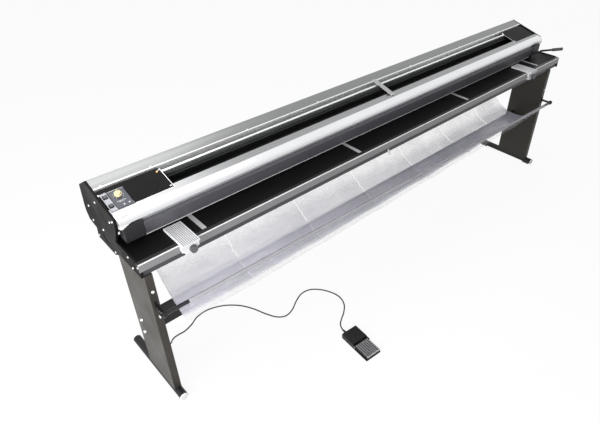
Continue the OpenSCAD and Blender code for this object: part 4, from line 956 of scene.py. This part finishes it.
class TRIMMER_OT_ends(bpy.types.Operator):
    """Adds the end plates' screws, the bar's cast ends, the rail's plugs and the rod's tips"""

    bl_idname = "trimmer.ends"
    bl_label = "End fittings"

    def execute(self, context):
        head_r = settings("trim").screw_head / 2 / MM
        screws = bmesh.new()
        for low, high in loose_parts(NODES["end_screws"].data):
            side = 1 if low.x > 0 else -1
            x = (high.x if side > 0 else low.x) - side * SCREW_H * MM
            at = along_x(Vector((x, (low.y + high.y) / 2, (low.z + high.z) / 2)), side)
            socket_head(screws, at, head_r, SCREW_H)
            disc(screws, SHANK_R, SHANK_R, *SHANK_REACH, at, SHANK_SIDES)
        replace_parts(piece("plate_screws", screws, "screw_zinc"), "end_screws")

        ends = bmesh.new()
        for x, way in ((HEAD_X[0], 1), (HEAD_X[1], -1)):
            front = [ends.verts.new(place(x + way * u, BAR_END_Y, z)) for u, z in BAR_END]
            cast = bmesh.ops.extrude_face_region(ends, geom=[ends.faces.new(front)])["geom"]
            moving = [v for v in cast if isinstance(v, bmesh.types.BMVert)]
            bmesh.ops.translate(ends, verts=moving, vec=(0, BAR_END_DEPTH * MM, 0))
        piece("bar_ends", ends, "white_plastic")

        plugs = bmesh.new()
        for x in (-HALF_LEN + RAIL_PLUG_IN, HALF_LEN - RAIL_PLUG_IN):
            block(plugs, *RAIL_PLUG, moved(x, 0, 0))
        rounded(plugs, RAIL_PLUG_ROUND)
        piece("rail_plugs", plugs, "black_plastic")
        bolt = bmesh.new()
        socket_head(bolt, along_x(place(*RAIL_SCREW_AT), -1), RAIL_SCREW_R, SCREW_H)
        piece("rail_screw", bolt, "screw_zinc")

        tips = bmesh.new()
        slope = (ROD_ENDS[1] - ROD_ENDS[0]).normalized()
        for end, way in ((ROD_ENDS[0], -1), (ROD_ENDS[1], 1)):
            disc(tips, *ROD_TIP, toward(place(*end), slope * way), ROD_TIP_SIDES)
        piece("rod_tips", tips, "screw_zinc")
        return {"FINISHED"}


# Covers and channel of the head

COVER_SCREWS_X, COVER_SCREW_Y = (-1490, -1285, -820, -400, 300, 760, 1190, 1420), 301
STRAP_SCREWS = ((-8, 165), (-8, 293), (8, 165), (8, 293))
# Each kind's height on the head, radius and height of its own
COVER_SCREW, STRAP_SCREW = (8.0, 3.6, 1.6), (11.8, 3.0, 1.4)
COVER_SCREW_SIDES = 18
TRIM_W, TRIM_H, TRIM_LEN = 1.6, 3.3, 116
FRONT_TRIM_Y, SIDE_TRIM_Y = 170.3, 172
CLIPS_AT = ((LEFT_LID[1] - 6, 274), (LEFT_LID[1] - 8, 182), (RIGHT_LID[0] + 7, 182), (RIGHT_LID[0] + 6, 276))
CLIP, CLIP_ROUND = ((-4, -2.5, 3), (4, 2.5, 5.2)), 0.5
LATCH_AT, LATCH, LATCH_SIDES = (LEFT_LID[1] - 16, 268), (5.0, 4.0, 3, 6.5), 24
DUCT_BAR_IN, DUCT_BAR_FILL = 6, 0.45
DUCT_BAR_Y, DUCT_BAR_Z = (259.4, 263.9), (919.5, 932.5)
DUCT_FOOT_IN, DUCT_FOOT_Y, DUCT_FOOT_Z = 4, (261.4, 263.9), (915.5, 920.5)
SLIT_AT, SLIT_SHADE = (-1484, 131), ((-19, -1.6, 7.9), (19, 1.6, 8.2))


class TRIMMER_OT_covers(bpy.types.Operator):
    """Adds the covers' screws and the trims, clips and latch of the two lids"""

    bl_idname = "trimmer.covers"
    bl_label = "Cover fittings"

    def execute(self, context):
        caps = bmesh.new()
        for spots, (lift, r, height) in (
            ([(x, COVER_SCREW_Y) for x in COVER_SCREWS_X], COVER_SCREW), (STRAP_SCREWS, STRAP_SCREW)
        ):
            for spot in spots:
                raised = on_head(*spot) @ Matrix.Translation((0, 0, lift * MM))
                socket_head(caps, raised, r, height, COVER_SCREW_SIDES)
        piece("cover_screws", caps, "screw_zinc")

        trims = bmesh.new()
        for x0, x1 in (LEFT_LID, RIGHT_LID):
            block(trims, (x0, 0, 0), (x1, TRIM_W, TRIM_H), on_head(0, FRONT_TRIM_Y))
        for x in (LEFT_LID[1], RIGHT_LID[0] - TRIM_W):
            block(trims, (x, 0, 0), (x + TRIM_W, TRIM_LEN, TRIM_H), on_head(0, SIDE_TRIM_Y))
        piece("lid_trims", trims, "bright_aluminium")
        clips = bmesh.new()
        for spot in CLIPS_AT:
            block(clips, *CLIP, on_head(*spot))
        rounded(clips, CLIP_ROUND)
        piece("lid_clips", clips, "white_plastic")
        latch = bmesh.new()
        disc(latch, *LATCH, on_head(*LATCH_AT), LATCH_SIDES)
        piece("lid_latch", latch, "bronze")
        return {"FINISHED"}


class TRIMMER_OT_channel(bpy.types.Operator):
    """Adds the cable duct in the channel, and a black strip on the front bar as painted shade of its slit"""

    bl_idname = "trimmer.channel"
    bl_label = "Cable duct"

    def execute(self, context):
        pitch = settings("trim").duct_pitch / MM
        duct = bmesh.new()
        x = LEFT_LID[1] + DUCT_BAR_IN
        while x < RIGHT_LID[0] - DUCT_BAR_IN:
            block(duct, (x, DUCT_BAR_Y[0], DUCT_BAR_Z[0]),
                  (x + pitch * DUCT_BAR_FILL, DUCT_BAR_Y[1], DUCT_BAR_Z[1]), moved(0, 0, 0))
            x += pitch
        block(duct, (LEFT_LID[1] + DUCT_FOOT_IN, DUCT_FOOT_Y[0], DUCT_FOOT_Z[0]),
              (RIGHT_LID[0] - DUCT_FOOT_IN, DUCT_FOOT_Y[1], DUCT_FOOT_Z[1]), moved(0, 0, 0))
        piece("cable_duct", duct, "duct_grey")
        # A black strip on the bar's top: painted shade of a slit
        slit_shade = bmesh.new()
        block(slit_shade, *SLIT_SHADE, on_head(*SLIT_AT))
        piece("bar_slit", slit_shade, "black_plastic")
        return {"FINISHED"}


# Hook and gauges

HOOK_X, HOOK_ROUND = -186, 0.8
HOOK = (((-5, 5, 711), (5, 8, 733)), ((-4, -3, 707), (4, 8, 711.5)), ((-4, -3, 707), (4, 0, 720)))
GAUGE_GROOVES = 9
GROOVE_W, GROOVE_T, GROOVE_IN, GROOVE_LOW = 0.0027, 0.0003, 0.001, 0.00135


class TRIMMER_OT_hook(bpy.types.Operator):
    """Adds the hook on the front apron"""

    bl_idname = "trimmer.hook"
    bl_label = "Apron hook"

    def execute(self, context):
        hook = bmesh.new()
        for low, high in HOOK:
            block(hook, low, high, moved(HOOK_X, 0, 0))
        rounded(hook, HOOK_ROUND)
        piece("apron_hook", hook, "white_plastic")
        return {"FINISHED"}


class TRIMMER_OT_gauges(bpy.types.Operator):
    """Lines the grooves of the two sliding gauges"""

    bl_idname = "trimmer.gauges"
    bl_label = "Gauge grooves"

    def execute(self, context):
        for name, body in (("left_gauge", "left_stop"), ("right_gauge", "right_stop")):
            low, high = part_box(name)
            lines = bmesh.new()
            pitch = (high.x - low.x) / (GAUGE_GROOVES + 1)
            size = Matrix.Diagonal((GROOVE_W, high.y - low.y - GROOVE_IN, GROOVE_T, 1.0))
            for k in range(1, GAUGE_GROOVES + 1):
                at = Matrix.Translation((low.x + k * pitch, (low.y + high.y) / 2, high.z - GROOVE_LOW))
                bmesh.ops.create_cube(lines, size=1.0, matrix=at @ size)
            piece(name + "_lines", lines, "groove_grey", body=body)
        return {"FINISHED"}


# Controls

PANEL_X, KNOB_Y, SWITCH_X = -1453.5, 238.0, -1499.5
MARK_Z = (LID_T - 0.1, LID_T + 0.2)
DIAL_STEPS, DIAL_STEP = range(-4, 5), math.radians(34)
DIAL_MARK = ((-0.8, 17, MARK_Z[0]), (0.8, 21.5, MARK_Z[1]))
# Flat marks on the panel: depth on the head, left end, right end and half width
PANEL_LINES = ((208, -20, 14, 0.9), (203, -14, 8, 0.9), (264, -27, 27, 0.7))
PANEL_LAMPS = ((PANEL_X + 18, 187), (PANEL_X - 2, 187))
PANEL_LAMP, PANEL_LAMP_SIDES = (3.2, 2.2, LID_T - 0.1, LID_T + 1.8), 20
# Each cap's name, depth on the head and body
BUTTON_CAPS = (("start_cap", 246, "start_key"), ("stop_cap", 199, "stop_key"))
CAP, CAP_ROUND = ((-6, -6, LID_T + 3.9), (6, 6, LID_T + 4.9)), 0.6
POINTER = ((-0.8, 2, LID_T + 16.2), (0.8, 12.6, LID_T + 16.7))


class TRIMMER_OT_controls(bpy.types.Operator):
    """Adds the panel's generic marks, the buttons' caps and the knob's pointer"""

    bl_idname = "trimmer.controls"
    bl_label = "Control marks"

    def execute(self, context):
        marks = bmesh.new()
        for k in DIAL_STEPS:
            turned = on_head(PANEL_X, KNOB_Y) @ Matrix.Rotation(k * DIAL_STEP, 4, "Z")
            block(marks, *DIAL_MARK, turned)
        for y, x0, x1, half in PANEL_LINES:
            block(marks, (x0, -half, MARK_Z[0]), (x1, half, MARK_Z[1]), on_head(PANEL_X, y))
        piece("panel_marks", marks, "panel_mark")

        lamps = bmesh.new()
        for spot in PANEL_LAMPS:
            disc(lamps, *PANEL_LAMP, on_head(*spot), PANEL_LAMP_SIDES)
        piece("panel_lamps", lamps, "white_plastic")

        for name, y, body in BUTTON_CAPS:
            cap = bmesh.new()
            block(cap, *CAP, on_head(SWITCH_X, y))
            rounded(cap, CAP_ROUND)
            piece(name, cap, "knob_grey", body=body)

        line = bmesh.new()
        block(line, *POINTER, on_head(PANEL_X, KNOB_Y))
        piece("knob_pointer", line, "black_plastic", body="selector")
        return {"FINISHED"}


# Treadle, in the pedal's own width and length

TREAD_FRONT, TREAD_TOP = -92.0, 22.0
TREAD_ROWS, TREAD_COLUMNS = 7, 7
TREAD_PITCH = (11.6, 12.2)
TREAD_FIRST = TREAD_FRONT + 9.8
PAD_HALF = (2.7, 4.7)
TREAD_SUNK, TREAD_PROUD, TREAD_ROUND = 0.4, 0.7, 0.3
NOSING_REACH, NOSING_V = 39.8, (TREAD_FRONT + 0.3, TREAD_FRONT + 3.6)


class TRIMMER_OT_tread(bpy.types.Operator):
    """Lays the pale pads and the nosing on the treadle, as painted highlights on its black rubber ribs and
    front edge
    """

    bl_idname = "trimmer.tread"
    bl_label = "Treadle pads"

    def execute(self, context):
        on_top = moved(*PEDAL_AT, TREAD_TOP) @ Matrix.Rotation(PEDAL_TURN, 4, "Z")
        half_u, half_v = PAD_HALF
        pads = bmesh.new()
        for row in range(TREAD_ROWS):
            v = TREAD_FIRST + row * TREAD_PITCH[1]
            for column in range(TREAD_COLUMNS):
                u = (column - (TREAD_COLUMNS - 1) / 2) * TREAD_PITCH[0]
                block(pads, (u - half_u, v - half_v, -TREAD_SUNK),
                      (u + half_u, v + half_v, TREAD_PROUD), on_top)
        rounded(pads, TREAD_ROUND, 1)
        piece("treadle_pads", pads, "tread_pale", body="treadle")
        nose = bmesh.new()
        block(nose, (-NOSING_REACH, NOSING_V[0], -TREAD_SUNK),
              (NOSING_REACH, NOSING_V[1], TREAD_PROUD), on_top)
        rounded(nose, TREAD_ROUND)
        piece("treadle_nosing", nose, "nosing_pale", body="treadle")
        return {"FINISHED"}


# Stage

CAMERA_AT = (-1.9901, -1.4489, 2.0551)
CAMERA_TURN = (53.21518, -0.53887, -43.04216)
CAMERA_SHIFT = (-0.04733, -0.00103)
CAMERA_REACH = (0.05, 200.0)
SENSOR = 36.0
# Each lamp's name, setting, place, aim and size
STAGE_LAMPS = (
    ("side_lamp", "side_power", (-4.0, -0.6, 1.4), (-1.4, 0.1, 0.5), (1.6, 1.6)),
    ("front_lamp", "front_power", (-2.3, -1.8, 1.3), (-0.9, 0.0, 0.7), (1.0, 0.8)),
    ("top_lamp", "top_power", (-1.1, 1.2, 3.0), (-0.9, 0.4, 0.8), (1.8, 1.4)),
)
# Sines of the heights between which the room's light grows from its walls' to its ceiling's
CEILING_FROM, CEILING_FULL = 0.48, 0.84
SKY = (0.95, 0.965, 1.0)
WHITE = (1.0, 1.0, 1.0)
FLOOR_HALF, FLOOR_DROP = 40.0, 0.0006
FLOOR_GRAIN, FLOOR_SHADE = {"Scale": 40.0, "Amount": 0.5}, 0.99
FLOOR_ROUGH, FLOOR_GLOSS = 0.9, 0.1
FLOOR_GLOW = 0.92
FLOOR_BOUNCE = 0.30


def shows_background(tree):
    """1 for rays that should meet the pale background: seen, mirrored or let through."""
    path = add(tree, "LightPath").outputs
    mirrored = larger(tree, path["Is Glossy Ray"], path["Is Transmission Ray"])
    return larger(tree, path["Is Camera Ray"], mirrored)


def area_lamp(name, at, aim, size, energy):
    data = bpy.data.lights.new(name, "AREA")
    data.shape = "RECTANGLE"
    data.size, data.size_y = size
    data.energy = energy
    lamp = bpy.data.objects.new(name, data)
    lamp.location = at
    lamp.rotation_euler = (Vector(aim) - Vector(at)).to_track_quat("-Z", "Y").to_euler()
    bpy.context.scene.collection.objects.link(lamp)


def floor_material(pale):
    """A pale floor that throws less light back on the machine than it shows."""
    material, tree, shader, where = new_material("pale_floor")
    mottled = effect(tree, "Grain", Vector=where, Colour=pale, Shade=lighter(pale, FLOOR_SHADE),
                     **FLOOR_GRAIN)
    tree.links.new(mottled[0], shader.inputs["Base Color"])
    shader.inputs["Roughness"].default_value = FLOOR_ROUGH
    shader.inputs["Specular IOR Level"].default_value = FLOOR_GLOSS
    glow = add(tree, "Emission", {"Strength": 1.0})
    shown = add(tree, "MixShader", {0: FLOOR_GLOW, 1: shader.outputs[0], 2: glow.outputs[0]})
    dull = add(tree, "BsdfDiffuse", {"Color": lighter(pale, FLOOR_BOUNCE)})
    seen = add(tree, "MixShader", {0: shows_background(tree), 1: dull.outputs[0], 2: shown.outputs[0]})
    tree.links.new(seen.outputs[0], tree.nodes["Material Output"].inputs["Surface"])
    return material


class TRIMMER_OT_stage(bpy.types.Operator):
    """Sets the camera, the soft light and the pale floor"""

    bl_idname = "trimmer.stage"
    bl_label = "Stage"

    def execute(self, context):
        want, scene = settings("stage"), context.scene
        camera = bpy.data.cameras.new("camera")
        camera.lens = want.lens
        camera.sensor_fit, camera.sensor_width = "HORIZONTAL", SENSOR
        camera.shift_x, camera.shift_y = CAMERA_SHIFT
        camera.clip_start, camera.clip_end = CAMERA_REACH
        eye = bpy.data.objects.new("camera", camera)
        eye.location = CAMERA_AT
        eye.rotation_euler = Euler([math.radians(a) for a in CAMERA_TURN])
        scene.collection.objects.link(eye)
        scene.camera = eye
        scene.view_settings.view_transform = "Standard"

        build = bmesh.new()
        bmesh.ops.create_grid(build, x_segments=2, y_segments=2, size=FLOOR_HALF)
        bmesh.ops.translate(build, verts=build.verts, vec=(0, 0, -FLOOR_DROP))
        mesh = bpy.data.meshes.new("floor")
        build.to_mesh(mesh)
        build.free()
        floor = bpy.data.objects.new("floor", mesh)
        scene.collection.objects.link(floor)
        mesh.materials.append(floor_material(tuple(want.floor_colour)))

        for name, setting, at, aim, size in STAGE_LAMPS:
            area_lamp(name, at, aim, size, getattr(want, setting))

        world = bpy.data.worlds.new("room")
        world.use_nodes = True
        scene.world = world
        tree = world.node_tree
        sky = tree.nodes["Background"]
        up = add(tree, "SeparateXYZ", {0: add(tree, "TexCoord").outputs["Generated"]}).outputs["Z"]
        room_light = ranged(tree, up, CEILING_FROM, CEILING_FULL, want.wall_level, want.ceiling_level)
        supply(tree, sky.inputs["Color"], SKY)
        supply(tree, sky.inputs["Strength"], room_light)
        white = add(tree, "Background", {"Color": WHITE, "Strength": 1.0})
        shown = add(tree, "MixShader", {0: shows_background(tree), 1: sky.outputs[0], 2: white.outputs[0]})
        tree.links.new(shown.outputs[0], tree.nodes["World Output"].inputs["Surface"])
        return {"FINISHED"}


# Panel, registration and run


class TRIMMER_PT_panel(bpy.types.Panel):
    """Lists the steps that dress the trimmer"""

    bl_label = "Rotary trimmer"
    bl_idname = "TRIMMER_PT_panel"
    bl_space_type = "VIEW_3D"
    bl_region_type = "UI"
    bl_category = "Trimmer"

    def draw(self, context):
        for step in OPERATORS:
            self.layout.operator(step.bl_idname)
        for name in SETTINGS:
            box = self.layout.box()
            group = settings(name)
            for key in group.bl_rna.properties.keys():
                if key not in {"rna_type", "name"}:
                    box.prop(group, key)


SETTINGS = {
    "stage": TrimmerStage, "film": TrimmerFilm, "cord": TrimmerCord, "finish": TrimmerFinish,
    "trim": TrimmerTrim,
}
OPERATORS = (
    TRIMMER_OT_stage, TRIMMER_OT_cord, TRIMMER_OT_film, TRIMMER_OT_metalwork, TRIMMER_OT_paintwork,
    TRIMMER_OT_plastics, TRIMMER_OT_ends, TRIMMER_OT_covers, TRIMMER_OT_channel, TRIMMER_OT_hook,
    TRIMMER_OT_gauges, TRIMMER_OT_controls, TRIMMER_OT_tread,
)
CLASSES = (*SETTINGS.values(), *OPERATORS, TRIMMER_PT_panel)


def register():
    for c in CLASSES:
        bpy.utils.register_class(c)
    for name, kind in SETTINGS.items():
        setattr(bpy.types.Scene, "trimmer_" + name, PointerProperty(type=kind))


def unregister():
    for name in SETTINGS:
        delattr(bpy.types.Scene, "trimmer_" + name)
    for c in reversed(CLASSES):
        bpy.utils.unregister_class(c)


def main():
    register()
    for step in OPERATORS:
        family, name = step.bl_idname.split(".")
        getattr(getattr(bpy.ops, family), name)()


if __name__ == "__main__":
    main()
